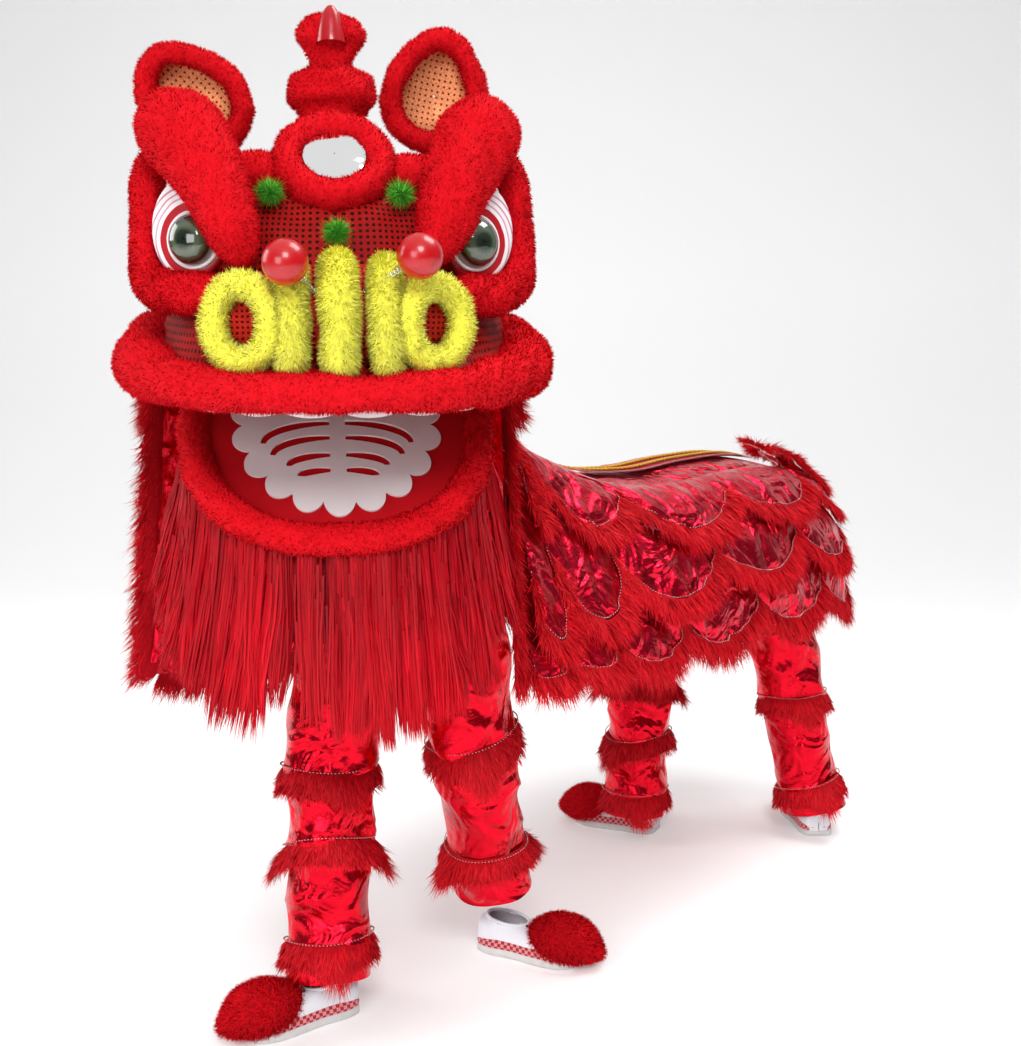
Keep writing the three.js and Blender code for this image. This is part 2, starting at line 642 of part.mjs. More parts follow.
for (const { name, foot, ball: end } of FEELERS) {
  const start = atHead(foot.across, foot.ahead, foot.up);
  const centre = atHead(end.across, end.ahead, end.up);
  const spring = roll([start, start.clone().lerp(centre, 0.5), centre], SPRING_RADIUS, [1, 1, 1], {
    sides: 6,
    steps: 2,
    flat: true,
  });
  const bulb = ball(new THREE.Vector3(BALL_RADIUS, BALL_RADIUS, BALL_RADIUS), centre, { across: 10, down: 6 });
  const cutters = [noseGrown, centreBar(SEAT_GAP)];
  for (const side of [-1, 1]) cutters.push(sideBar(side, SEAT_GAP));
  addPiece(`feeler_${name}`, cutBy(joined(spring, bulb), ...cutters), glossRed);
}

// The ears: a cup with a padded rim, standing on a knuckle that turns on the shell's seat
function earRimPoint(turn, reach) {
  const across = Math.cos(turn) * (1 - 0.22 * Math.sin(turn));
  return new THREE.Vector3(EAR_HALF * across * reach, 0, EAR_HEIGHT * (0.53 + 0.4 * Math.sin(turn) * reach));
}

function earCupBlank(inset) {
  return drum(10, 3, (turn, down, reach) => {
    const bowl = Math.sin(down * Math.PI * 0.5);
    const wide = (inset ? 1 - inset / EAR_HALF : 1) * Math.cos(down * Math.PI * 0.46);
    const point = earRimPoint(turn, reach * wide);
    point.y = bowl * (EAR_DEPTH - inset) - (inset && down === 0 ? 1 : 0);
    return point;
  });
}

// The stem's way from the knuckle round behind the rim into the cup, in shares of its depth and height.
const EAR_STEM = [
  { back: 0, up: 0 },
  { back: 0.6, up: 0.03 },
  { back: 0.72, up: 0.16 },
  { back: 0.8, up: 0.34 },
];

function earSolids() {
  const knucklePoints = [-0.5, 0, 0.5].map((share) => new THREE.Vector3(0, share * KNUCKLE_LENGTH, 0));
  const knuckle = roll(knucklePoints, KNUCKLE_RADIUS, [1, 1, 1], { sides: 10, steps: 1, flat: true });
  const stemPoints = EAR_STEM.map(({ back, up }) => new THREE.Vector3(0, back * EAR_DEPTH, up * EAR_HEIGHT));
  const stem = roll(stemPoints, KNUCKLE_RADIUS * 0.75, [1, 1, 1], { sides: 6, steps: 4, flat: true });
  const rimBlank = (grow) =>
    ring(12, 6, (turn, round) => {
      const out = (EAR_RIM_RADIUS + grow) * Math.cos(round);
      const point = earRimPoint(turn, 1);
      const away = earRimPoint(turn, 1.1).sub(point).normalize();
      return point.addScaledVector(away, out).setY(-(EAR_RIM_RADIUS + grow) * Math.sin(round));
    });
  const outside = joined(earCupBlank(0), stem, knuckle);
  const whole = outside.subtract(earCupBlank(EAR_WALL)).subtract(rimBlank(SEAT_GAP));
  return { cup: largest(whole), rim: rimBlank(0) };
}

const ears = earSolids();
for (const [name, side, lean] of [["left", -1, EAR_LEAN_LEFT], ["right", 1, EAR_LEAN_RIGHT]]) {
  const ear = new THREE.Group();
  ear.position.copy(atHead(side * EAR_PIVOT.across, EAR_PIVOT.ahead, EAR_PIVOT.up));
  ear.rotation.y = THREE.MathUtils.degToRad(side * lean);
  head.add(ear);
  addPiece(`ear_cup_${name}`, ears.cup, gildedCloth, ear);
  addPiece(`ear_rim_${name}`, ears.rim, plushRed, ear);
}

// The jaw, in its own frame: x across, y back from the front, z up from the board, at its hinge
const jaw = new THREE.Group();
jaw.position.copy(atHead(0, JAW_HINGE.ahead, JAW_HINGE.up));
jaw.rotation.x = THREE.MathUtils.degToRad(JAW_DROP);
head.add(jaw);

// The jaw's outline from the hinge round the front, in shares of its half width and length.
const JAW_OUTLINE = [
  { across: 0.9, ahead: -0.06 },
  { across: 0.98, ahead: -0.24 },
  { across: 1.0, ahead: -0.44 },
  { across: 0.92, ahead: -0.66 },
  { across: 0.7, ahead: -0.87 },
  { across: 0.36, ahead: -0.975 },
  { across: 0, ahead: -1.0 },
];

function jawPoints(reach = 1, lift = 0) {
  return bothSides(JAW_OUTLINE).map(
    ({ across, ahead }) => new THREE.Vector3(across * JAW_HALF * reach, ahead * JAW_LENGTH * reach, lift),
  );
}

function jawRollBlank(grow) {
  return roll(jawPoints(), JAW_ROLL_RADIUS, [0.8, 1, 1, 1, 0.8], { sides: 6, steps: 13, grow });
}

function jawBoard() {
  const outline = new THREE.Shape(
    new THREE.CatmullRomCurve3(jawPoints()).getPoints(12).map(({ x, y }) => new THREE.Vector2(x, y)),
  );
  const board = solidOf(new THREE.ExtrudeGeometry(outline, { depth: JAW_THICK, bevelEnabled: false }));
  const place = new THREE.Object3D();
  place.position.z = -JAW_THICK;
  const arms = [-1, 1].map((side) => {
    const near = HINGE_HALF - KNUCKLE_LENGTH;
    const ends = [near, near + KNUCKLE_LENGTH / 2, HINGE_HALF].map((x) => new THREE.Vector3(side * x, 0, 0));
    const eye = roll(ends, KNUCKLE_RADIUS, [1, 1, 1], { sides: 12, steps: 2, flat: true });
    const root = JAW_HALF * 0.86;
    const width = HINGE_HALF - root;
    const middle = new THREE.Vector3((side * (root + HINGE_HALF)) / 2, -JAW_LENGTH * 0.02, -JAW_THICK / 2);
    return joined(eye, block(width, JAW_LENGTH * 0.12, JAW_THICK, middle));
  });
  return joined(moved(board, place), ...arms);
}

const board = cutBy(jawBoard(), jawRollBlank(SEAT_GAP));
addPiece("jaw_board", board, plushRed, jaw);
addPiece("jaw_roll", largest(jawRollBlank(0)), plushRed, jaw);

// The tongue: a scalloped board with curved slots cut through it
const TONGUE_LOBES = 10;
const TONGUE_BACK = 0.3; // where it starts, as a share of the jaw's length
const TONGUE_SLOTS = [
  { reach: 0.22, width: 11, from: 22, to: 80 },
  { reach: 0.39, width: 12, from: 12, to: 72 },
  { reach: 0.56, width: 12, from: 8, to: 74 },
];

// A point of the tongue: turn runs from -90 at the right side to 90 at the left, 0 being ahead.
function tonguePoint(degrees, reach, widen = 0) {
  const turn = THREE.MathUtils.degToRad(degrees);
  const across = (TONGUE_HALF * reach + widen) * Math.sin(turn);
  return new THREE.Vector2(across, -(TONGUE_LENGTH * 0.86 * reach + widen) * Math.cos(turn));
}

function tongueShape() {
  const outline = [];
  const from = 104;
  for (let lobe = 0; lobe < TONGUE_LOBES; lobe++) {
    for (const share of [0, 0.25, 0.75]) {
      const bulge = 0.88 + 0.12 * Math.sqrt(Math.sin(Math.PI * share));
      outline.push(tonguePoint(-from + (2 * from * (lobe + share)) / TONGUE_LOBES, bulge));
    }
  }
  outline.push(tonguePoint(from, 0.88));
  const shape = new THREE.Shape(outline);
  for (const { reach, width, from: start, to } of TONGUE_SLOTS) {
    for (const side of [-1, 1]) {
      const steps = 3;
      const slot = [];
      for (let i = 0; i <= steps; i++) {
        slot.push(tonguePoint(side * (start + ((to - start) * i) / steps), reach, width / 2));
      }
      for (let i = steps; i >= 0; i--) {
        slot.push(tonguePoint(side * (start + ((to - start) * i) / steps), reach, -width / 2));
      }
      shape.holes.push(new THREE.Path(slot));
    }
  }
  return shape;
}

const tonguePlace = new THREE.Object3D();
tonguePlace.position.set(0, -JAW_LENGTH * 0.33, SEAT_GAP);
const tongue = solidOf(new THREE.ExtrudeGeometry(tongueShape(), { depth: TONGUE_THICK, bevelEnabled: false }));
addPiece("tongue", cutBy(moved(tongue, tonguePlace), jawRollBlank(SEAT_GAP)), white, jaw);

// The beard: locks of long hair on a backing under the jaw's roll, built in the head's frame
const BEARD_LOCKS = 8;
const BEARD_ROWS = 2;
const BEARD_SHARES = [0.7, 0.86, 0.98, 1.0, 0.95, 0.84, 0.72];
const beardRim = new THREE.CatmullRomCurve3(
  jawPoints(1.0, -JAW_ROLL_RADIUS * 0.4)
    .slice(1, -1)
    .map((point) => point.applyAxisAngle(new THREE.Vector3(1, 0, 0), THREE.MathUtils.degToRad(JAW_DROP))),
);

const beard = sheet(BEARD_LOCKS * 2, BEARD_ROWS, (i, j, side) => {
  const share = i / (BEARD_LOCKS * 2);
  const down = j / BEARD_ROWS;
  const point = beardRim.getPoint(share);
  const away = new THREE.Vector3(point.x / JAW_HALF, (point.y / JAW_LENGTH) * 0.5, 0).normalize();
  const lock = i % 2 ? 1 : 0.86;
  const thick = BEARD_THICK * (i % 2 ? 1 : 0.6) * (1 - 0.45 * down);
  const flare = (0.08 * BEARD_LENGTH * down * Math.abs(point.x)) / JAW_HALF;
  point.addScaledVector(away, flare + (side ? -thick / 2 : thick / 2));
  point.z -= BEARD_LENGTH * along(BEARD_SHARES, share) * lock * down;
  return point;
});
const backToJaw = new THREE.Object3D();
backToJaw.rotation.x = -jaw.rotation.x;
const beardInJaw = cutBy(moved(beard, backToJaw), jawRollBlank(SEAT_GAP), jawBoard());
addPiece("beard", beardInJaw, furRed, jaw);

// The body cloth. Its rows run from the front edge on the +X side round the rump to the other front edge.
// The top edge follows the shell's rim and then the spine, where both sides are sewn together.
function fromHead(point) {
  return point.applyAxisAngle(new THREE.Vector3(0, 0, 1), THREE.MathUtils.degToRad(HEAD_TURN));
}

function rimPoint(degrees) {
  const point = shellPoint(THREE.MathUtils.degToRad(degrees), SHELL_SECTIONS[1], -1);
  return fromHead(point);
}

// A place on the body: across in shares of the half width, along in shares of the body's length.
function onBody(across, back, z) {
  return new THREE.Vector3(across * BODY_HALF, back * BODY_LENGTH, z);
}

const backLevel = (share) => -BACK_DEPTH * share;
const hemLevel = (share) => -BACK_DEPTH - SKIRT_DEPTH * share;

// One row for each column of the cloth: its top point, its hem point and how boxy its profile is.
const COLUMNS = [
  { top: rimPoint(14), hem: onBody(0.92, 0.1, hemLevel(1.0)), box: 1.0 },
  { top: rimPoint(30), hem: onBody(0.91, 0.14, hemLevel(1.0)), box: 1.0 },
  { top: rimPoint(48), hem: onBody(0.91, 0.19, hemLevel(1.01)), box: 1.05 },
  { top: rimPoint(70), hem: onBody(0.92, 0.255, hemLevel(1.03)), box: 1.15 },
  { top: onBody(-0.3, 0.25, backLevel(0.62)), hem: onBody(0.93, 0.33, hemLevel(1.06)), box: 1.4 },
  { top: onBody(-0.06, 0.38, backLevel(0.97)), hem: onBody(0.95, 0.42, hemLevel(1.09)), box: 1.9 },
  { top: onBody(0, 0.52, backLevel(1.05)), hem: onBody(0.97, 0.53, hemLevel(1.11)), box: 2.2 },
  { top: onBody(0, 0.66, backLevel(1.02)), hem: onBody(0.97, 0.66, hemLevel(1.14)), box: 2.3 },
  { top: onBody(0, 0.8, backLevel(1.02)), hem: onBody(0.94, 0.79, hemLevel(1.14)), box: 2.3 },
  { top: onBody(0, 0.88, backLevel(1.08)), hem: onBody(0.84, 0.9, hemLevel(1.16)), box: 2.3 },
  { top: onBody(0, 0.92, backLevel(1.13)), hem: onBody(0.6, 0.98, hemLevel(1.2)), box: 2.2 },
  { top: onBody(0, 0.92, backLevel(1.13)), hem: onBody(0.3, 1.02, hemLevel(1.22)), box: 2.2 },
  { top: onBody(0, 0.92, backLevel(1.13)), hem: onBody(0, 1.035, hemLevel(1.22)), box: 2.2 },
];
const LEFT_FRONT = [
  { top: rimPoint(112), hem: onBody(-1.0, 0.23, hemLevel(1.06)), box: 1.2 },
  { top: rimPoint(134), hem: onBody(-1.04, 0.12, hemLevel(1.06)), box: 1.1 },
  { top: rimPoint(156), hem: onBody(-1.07, 0.0, hemLevel(1.04)), box: 1.0 },
  { top: rimPoint(172), hem: onBody(-1.06, -0.1, hemLevel(1.02)), box: 1.0 },
];
const mirroredColumns = COLUMNS.slice(4, -1)
  .reverse()
  .map(({ top, hem, box }) => ({ top, hem: hem.clone().setX(-hem.x), box }));
const columns = [...COLUMNS, ...mirroredColumns, ...LEFT_FRONT];
const topCurve = new THREE.CatmullRomCurve3(columns.map(({ top }) => top), false, "centripetal");
const hemCurve = new THREE.CatmullRomCurve3(columns.map(({ hem }) => hem), false, "centripetal");
const SEWN_FROM = 4;
const SEWN_TO = columns.length - 5;

// A point of the cloth: round in columns from the first, down from 0 at the top edge to 1 at the hem.
function clothPoint(round, down) {
  const share = round / (columns.length - 1);
  const top = topCurve.getPoint(share);
  const hem = hemCurve.getPoint(share);
  const box = 2 / along(columns.map((column) => column.box), share);
  const turn = Math.min(down, 1) * Math.PI * 0.5;
  const out = Math.sin(turn) ** box;
  const drop = 1 - Math.max(Math.cos(turn), 0) ** box;
  const z = top.z + (hem.z - top.z) * drop - Math.max(down - 1, 0) * SKIRT_DEPTH;
  return new THREE.Vector3(top.x + (hem.x - top.x) * out, top.y + (hem.y - top.y) * out, z);
}

function clothNormal(round, down) {
  const step = 0.02;
  const before = Math.max(round - step, 0);
  const after = Math.min(round + step, columns.length - 1);
  const above = Math.max(down - step, 0.01);
  const level = Math.max(down, 0.02);
  const ahead = clothPoint(after, level).sub(clothPoint(before, level));
  const below = clothPoint(round, level + step).sub(clothPoint(round, above));
  return below.cross(ahead).normalize();
}

const CLOTH_ROWS = 4;
const clothColumns = columns.length - 1;

function clothBlank(outside, inside) {
  const sewn = (i) => i >= SEWN_FROM && i < SEWN_TO;
  return sheet(
    clothColumns,
    CLOTH_ROWS,
    (i, j, side) => {
      const down = j / CLOTH_ROWS;
      const atSeam = j === 0 && i >= SEWN_FROM && i <= SEWN_TO;
      const normal = atSeam ? new THREE.Vector3(0, 0, 1) : clothNormal(i, down);
      return clothPoint(i, down).addScaledVector(normal, side ? inside : outside);
    },
    { sewn },
  );
}

const turnedHead = new THREE.Object3D();
turnedHead.rotation.z = head.rotation.z;
const shellInPlace = moved(shellGrown, turnedHead);
const lipInPlace = moved(lipGrown, turnedHead);
addPiece("body_cloth", cutBy(clothBlank(0, -CLOTH), shellInPlace, lipInPlace), foilRed, costume);
const clothGrown = clothBlank(SEAT_GAP, -CLOTH - SEAT_GAP);

// The tiers: scalloped flaps of foil cloth edged with fur, from one front edge round the rump to the other
const TIERS = [
  { name: "tier_1", from: 0.26, foil: 0.5, fur: 0.12, scallops: 9, dip: 0.07, start: 1.2, flare: 32 },
  { name: "tier_2", from: 0.5, foil: 0.72, fur: 0.12, scallops: 10, dip: 0.06, start: 0.5, flare: 32 },
  { name: "tier_3", from: 0.76, foil: 0.92, fur: 0.13, scallops: 11, dip: 0.05, start: 0.15, flare: 22 },
];
const POINTS_A_SCALLOP = 3;
const TIER_ROWS = [0, 0.72, 1];

function tier({ from, foil, fur, scallops, dip, start, flare }, grow = 0) {
  const steps = scallops * POINTS_A_SCALLOP;
  return sheet(steps, TIER_ROWS.length - 1, (i, j, side) => {
    const round = start + (clothColumns - 2 * start) * (i / steps);
    const scallop = Math.abs(Math.sin((i * Math.PI) / POINTS_A_SCALLOP)) ** 0.7;
    const locks = i % 2 ? 0.018 : 0;
    const end = foil + fur + dip * (scallop - 1) + (j === TIER_ROWS.length - 1 ? locks : 0);
    const down = from + (end - from) * TIER_ROWS[j];
    const inFur = TIER_ROWS[j] > 0.7;
    const lift = flare * Math.sqrt(TIER_ROWS[j]) * (0.75 + 0.25 * scallop) - (j === 0 ? TIER_SEAT : 0);
    const thick = j === 0 ? TIER_SEAT + 2 * CLOTH : inFur ? FUR_THICK : CLOTH;
    const out = lift + (side ? -grow : thick + grow);
    return clothPoint(round, down).addScaledVector(clothNormal(round, Math.min(down, 1)), out);
  });
}

for (const row of TIERS) {
  addPiece(row.name, cutBy(tier(row), clothGrown, shellInPlace, lipInPlace), foilRed, costume);
}

// The collar: petals edged with fur that stand behind the head, from cheek to cheek
const COLLAR_PETALS = 6;

const collar = sheet(COLLAR_PETALS * POINTS_A_SCALLOP, 1, (i, j, side) => {
  const share = i / (COLLAR_PETALS * POINTS_A_SCALLOP);
  const turn = THREE.MathUtils.degToRad(16 + 148 * share);
  const petal = Math.abs(Math.sin((i * Math.PI) / POINTS_A_SCALLOP)) ** 0.6;
  const foot = shellPoint(turn, SHELL_SECTIONS[1], -2);
  const out = new THREE.Vector3(Math.cos(turn), Math.sin(turn), 0);
  const thick = j === 0 ? CLOTH * 2 : FUR_THICK * 0.8;
  const length = HEAD_RISE * (0.14 + 0.16 * petal) * j;
  foot.addScaledVector(out, length * 0.8 + (side ? 0 : thick));
  foot.z -= HEAD_RISE * 0.04 + length * 0.75;
  return foot;
});
const collarCutters = [shellGrown, lipGrown].map((solid) => moved(solid, turnedHead));
addPiece("collar", cutBy(moved(collar, turnedHead), ...collarCutters, clothGrown), furRed, costume);

// The strip along the spine, laid on the cloth
const STRIP_COLUMNS = { from: 4.3, to: 8.3 };
const STRIP_STEPS = 8;

const strip = sheet(STRIP_STEPS, 2, (i, j, side) => {
  const round = STRIP_COLUMNS.from + ((STRIP_COLUMNS.to - STRIP_COLUMNS.from) * i) / STRIP_STEPS;
  const spine = topCurve.getPoint(round / clothColumns);
  const ahead = topCurve.getPoint((round + 0.05) / clothColumns).sub(spine).normalize();
  const across = new THREE.Vector3(ahead.y, -ahead.x, 0).normalize();
  const sag = j === 1 ? 0 : STRIP_HALF * 0.04;
  const point = spine.addScaledVector(across, (j - 1) * STRIP_HALF);
  point.z += (side ? -STRIP_THICK * 2 : STRIP_THICK * 2) - sag;
  return point;
});
addPiece("spine_strip", cutBy(strip, clothGrown), gildedCloth, costume);

// The tail: a leaf-shaped padded flap over the rump
const TAIL_STEPS = 6;

const tail = sheet(TAIL_STEPS, 4, (i, j, side) => {
  const share = i / TAIL_STEPS;
  const spread = j / 2 - 1;
  const half = TAIL_HALF * (0.32 + 0.68 * Math.sin(Math.PI * Math.min(1, 0.18 + share * 0.86)) ** 0.8);
  const root = onBody(0, 0.865, backLevel(1.05));
  const down = share * TAIL_LENGTH;
  const fall = share * share * TAIL_LENGTH * 0.6;
  const thick = TAIL_THICK * (1 - 0.55 * Math.abs(spread));
  const lift = side ? -thick / 2 : thick / 2;
  const droop = half * 0.2 * spread * spread;
  return new THREE.Vector3(root.x + spread * half, root.y + down * 0.8, root.z + 20 - fall - droop + lift);
});
const tailRoot = block(44, 44, 40, onBody(0, 0.88, backLevel(1.07)));
addPiece("tail", cutBy(joined(tail, tailRoot), clothGrown, tier(TIERS[0], SEAT_GAP)), furRed, costume);

// Trousers. Each leg is a row of points in shares of the floor's depth, with its radius in shares.
function standing(x, y, height) {
  return new THREE.Vector3(x, y, height - FLOOR);
}

const WEARERS = [
  {
    name: "front",
    turn: HEAD_TURN,
    hip: { x: 0, y: 170 },
    legs: [
      {
        name: "left",
        side: -1,
        knee: { x: -82, y: 52, height: 460 },
        hem: { x: -42, y: 0, height: 72 },
        frills: [0.44, 0.64, 0.9],
      },
      {
        name: "right",
        side: 1,
        knee: { x: 76, y: 270, height: 470 },
        hem: { x: 36, y: 376, height: 150 },
        frills: [0.42, 0.83],
      },
    ],
    shoes: [
      { name: "left", heel: { x: -24, y: 34 }, toe: { x: -82, y: -160 } },
      { name: "right", heel: { x: 4, y: 398 }, toe: { x: 163, y: 430 } },
    ],
  },
  {
    name: "rear",
    turn: 0,
    hip: { x: 0, y: 1345 },
    legs: [
      {
        name: "left",
        side: -1,
        knee: { x: -128, y: 1180, height: 430 },
        hem: { x: -140, y: 1166, height: 48 },
        frills: [0.52, 0.72, 0.92],
      },
      {
        name: "right",
        side: 1,
        knee: { x: 148, y: 1410, height: 420 },
        hem: { x: 214, y: 1440, height: 58 },
        frills: [0.58, 0.9],
      },
    ],
    shoes: [
      { name: "left", heel: { x: -88, y: 1180 }, toe: { x: -303, y: 1140 } },
      { name: "right", heel: { x: 248, y: 1404 }, toe: { x: 107, y: 1556 } },
    ],
  },
];
const LEG_SHARES = [1.0, 0.98, 0.9, 0.84, 0.8, 0.78, 0.8];
const LEG_SIDES = 8;
const LEG_STEPS = 4;

function hipPoint({ turn, hip }, across, height) {
  const point = new THREE.Vector3(across * HIP_HALF, 0, 0);
  point.applyAxisAngle(new THREE.Vector3(0, 0, 1), THREE.MathUtils.degToRad(turn));
  return point.add(standing(hip.x, hip.y, height));
}

function legPoints(wearer, leg) {
  const top = hipPoint(wearer, leg.side * 0.5, CROTCH_HEIGHT + 40);
  const knee = standing(leg.knee.x, leg.knee.y, leg.knee.height);
  const hem = standing(leg.hem.x, leg.hem.y, leg.hem.height);
  return [top, top.clone().lerp(knee, 0.55), knee, knee.clone().lerp(hem, 0.5), hem];
}

function legBlank(wearer, leg, grow, reach) {
  const options = { sides: LEG_SIDES, steps: LEG_STEPS, grow, reach, flat: true };
  return roll(legPoints(wearer, leg), THIGH_RADIUS, LEG_SHARES, options);
}

const HIP_SECTIONS = [
  { height: 1, half: 0.92 },
  { height: 0.6, half: 1.0 },
  { height: 0.2, half: 1.02 },
  { height: -0.1, half: 0.9 },
  { height: -0.24, half: 0.62 },
];

function hipBlank(wearer, inset, taller = 0) {
  return drum(10, HIP_SECTIONS.length - 1, (turn, down, reach) => {
    const i = Math.round(down * (HIP_SECTIONS.length - 1));
    const { height, half } = HIP_SECTIONS[i];
    const level = CROTCH_HEIGHT + height * (WAIST_HEIGHT - CROTCH_HEIGHT) + (i === 0 ? taller : 0);
    const last = i === HIP_SECTIONS.length - 1 ? inset : 0;
    const x = reach * (half * HIP_HALF - inset) * Math.cos(turn);
    const y = reach * (half * HIP_DEPTH - inset) * Math.sin(turn);
    const point = new THREE.Vector3(x, y, 0);
    point.applyAxisAngle(new THREE.Vector3(0, 0, 1), THREE.MathUtils.degToRad(wearer.turn));
    return point.add(standing(wearer.hip.x, wearer.hip.y, level + last));
  });
}

// Both legs and the hips, grown by grow, with the waist and the hems pushed out by reach.
function trousersBlank(wearer, grow, reach) {
  const legs = wearer.legs.map((leg) => legBlank(wearer, leg, grow, reach));
  return joined(hipBlank(wearer, -grow, reach), ...legs);
}

// A fur frill round a leg: a short skirt of locks sewn on at a share of the leg's length.
const FRILL_LOCKS = 6;

function frill(wearer, leg, share) {
  const path = new THREE.CatmullRomCurve3(legPoints(wearer, leg), false, "centripetal");
  const length = path.getLength();
  const columnsRound = FRILL_LOCKS * 2;
  const shares = [share, share + FRILL_DROP / length];
  const frames = framesAlong(path, [0, ...shares.map((value) => Math.min(value, 1))]).slice(1);
  return sheet(
    columnsRound,
    1,
    (i, j, side) => {
      const turn = (2 * Math.PI * i) / columnsRound;
      const { centre, side: across, other, tangent } = frames[j];
      const wave = Math.sin(2 * turn + share * 40);
      const radius = THIGH_RADIUS * along(LEG_SHARES, shares[j]);
      const flare = FRILL_FLARE * j * (1 + 0.35 * wave);
      const lock = j && i % 2 ? FRILL_LOCK : 0;
      const inside = j ? 2 : -FRILL_SEAT;
      const wide = radius + flare + (side ? inside : FRILL_THICK);
      const over = Math.max(0, shares[j] - 1) * length + lock + 6 * wave;
      return centre
        .clone()
        .addScaledVector(tangent, over)
        .addScaledVector(across, wide * Math.cos(turn))
        .addScaledVector(other, wide * Math.sin(turn));
    },
    { round: true },
  );
}

// A shoe: a sole and a hollow upper, with its paw of fur over the toe as a piece of its own
const SHOE_SECTIONS = [
  { back: -0.02, half: 0.62, top: 0.9 },
  { back: 0.12, half: 0.86, top: 1.0 },
  { back: 0.34, half: 0.84, top: 0.98 },
  { back: 0.56, half: 0.95, top: 0.8 },
  { back: 0.8, half: 1.0, top: 0.56 },
  { back: 0.97, half: 0.7, top: 0.42 },
];

const SOLE_FLATNESS = 0.74; // the share of the half height below which a section is flat

function shoeBlank(inset) {
  return drum(8, SHOE_SECTIONS.length - 1, (turn, down, reach) => {
    const i = Math.round(down * (SHOE_SECTIONS.length - 1));
    const { back, half, top } = SHOE_SECTIONS[i];
    const end = i === 0 ? inset : i === SHOE_SECTIONS.length - 1 ? -inset : 0;
    const low = inset > 0 ? SOLE_THICK : inset;
    const high = SHOE_HEIGHT * top - inset;
    const x = reach * (half * SHOE_HALF - inset) * rounded(Math.cos(turn));
    const level = Math.max((rounded(Math.sin(turn)) + SOLE_FLATNESS) / (1 + SOLE_FLATNESS), 0);
    const z = reach ? low + (high - low) * level : (low + high) / 2;
    return new THREE.Vector3(x, -back * SHOE_LENGTH - end, z);
  });
}

function shoeMouth() {
  const centre = new THREE.Vector3(0, -SHOE_LENGTH * 0.24, SHOE_HEIGHT + SOLE_THICK);
  return drum(8, 1, (turn, down, reach) => {
    const x = reach * (SHOE_HALF - SHOE_WALL) * 0.74 * Math.cos(turn);
    const y = reach * SHOE_LENGTH * 0.2 * Math.sin(turn);
    return new THREE.Vector3(x, y, (0.5 - down) * SHOE_HEIGHT * 1.4).add(centre);
  });
}

function pawBlank(grow = 0) {
  const centre = new THREE.Vector3(0, -SHOE_LENGTH * 0.83, PAW_HEIGHT * 0.47);
  const radii = new THREE.Vector3(PAW_HALF + grow, PAW_LENGTH / 2 + grow, PAW_HEIGHT / 2 + grow);
  const whole = ball(radii, centre, { across: 8, down: 6 });
  const under = block(4 * PAW_HALF, 2 * SHOE_LENGTH, PAW_HEIGHT, new THREE.Vector3(0, -SHOE_LENGTH, -PAW_HEIGHT / 2));
  return whole.subtract(under);
}

// The room over a shoe's mouth, which the trousers' cloth keeps clear of.
function shoeAnkle() {
  const middle = new THREE.Vector3(0, -SHOE_LENGTH * 0.24, SHOE_HEIGHT * 0.9);
  return block(SHOE_HALF * 1.2, SHOE_LENGTH * 0.34, SHOE_HEIGHT * 0.4, middle);
}

const shoeSolid = largest(shoeBlank(0).subtract(shoeBlank(SHOE_WALL)).subtract(shoeMouth()));
const pawSolid = cutBy(pawBlank(), shoeBlank(-SEAT_GAP));

function footPlace({ heel, toe }) {
  const foot = new THREE.Group();
  foot.position.copy(standing(heel.x, heel.y, 0));
  foot.rotation.z = Math.atan2(toe.x - heel.x, heel.y - toe.y);
  return foot;
}

for (const wearer of WEARERS) {
  const footwear = joined(shoeBlank(-SEAT_GAP), shoeAnkle(), pawBlank(SEAT_GAP));
  const feet = wearer.shoes.map((shoe) => moved(footwear, footPlace(shoe)));
  const hollow = trousersBlank(wearer, -CLOTH, 2 * CLOTH);
  const grown = trousersBlank(wearer, SEAT_GAP, SEAT_GAP);
  const trousers = cutBy(trousersBlank(wearer, 0, 0), hollow, ...feet);
  addPiece(`${wearer.name}_trousers`, trousers, foilRed, costume);
  for (const leg of wearer.legs) {
    leg.frills.forEach((share, n) => {
      const name = `${wearer.name}_${leg.name}_frill_${n + 1}`;
      addPiece(name, cutBy(frill(wearer, leg, share), grown, ...feet), furRed, costume);
    });
  }
  for (const shoe of wearer.shoes) {
    const foot = footPlace(shoe);
    costume.add(foot);
    addPiece(`${wearer.name}_shoe_${shoe.name}`, shoeSolid, white, foot);
    addPiece(`${wearer.name}_paw_${shoe.name}`, pawSolid, furRed, foot);
  }
}

export default costume;
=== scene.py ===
"""Dresses the lion dance costume's frame in plush, fur, foil cloth and sequins, and lights it.

All shapes are worked out in millimetres in the frame's axes and turned into metres when a piece is built.
"""

import logging
import math
from dataclasses import dataclass
from enum import Enum
from functools import lru_cache
from typing import Sequence

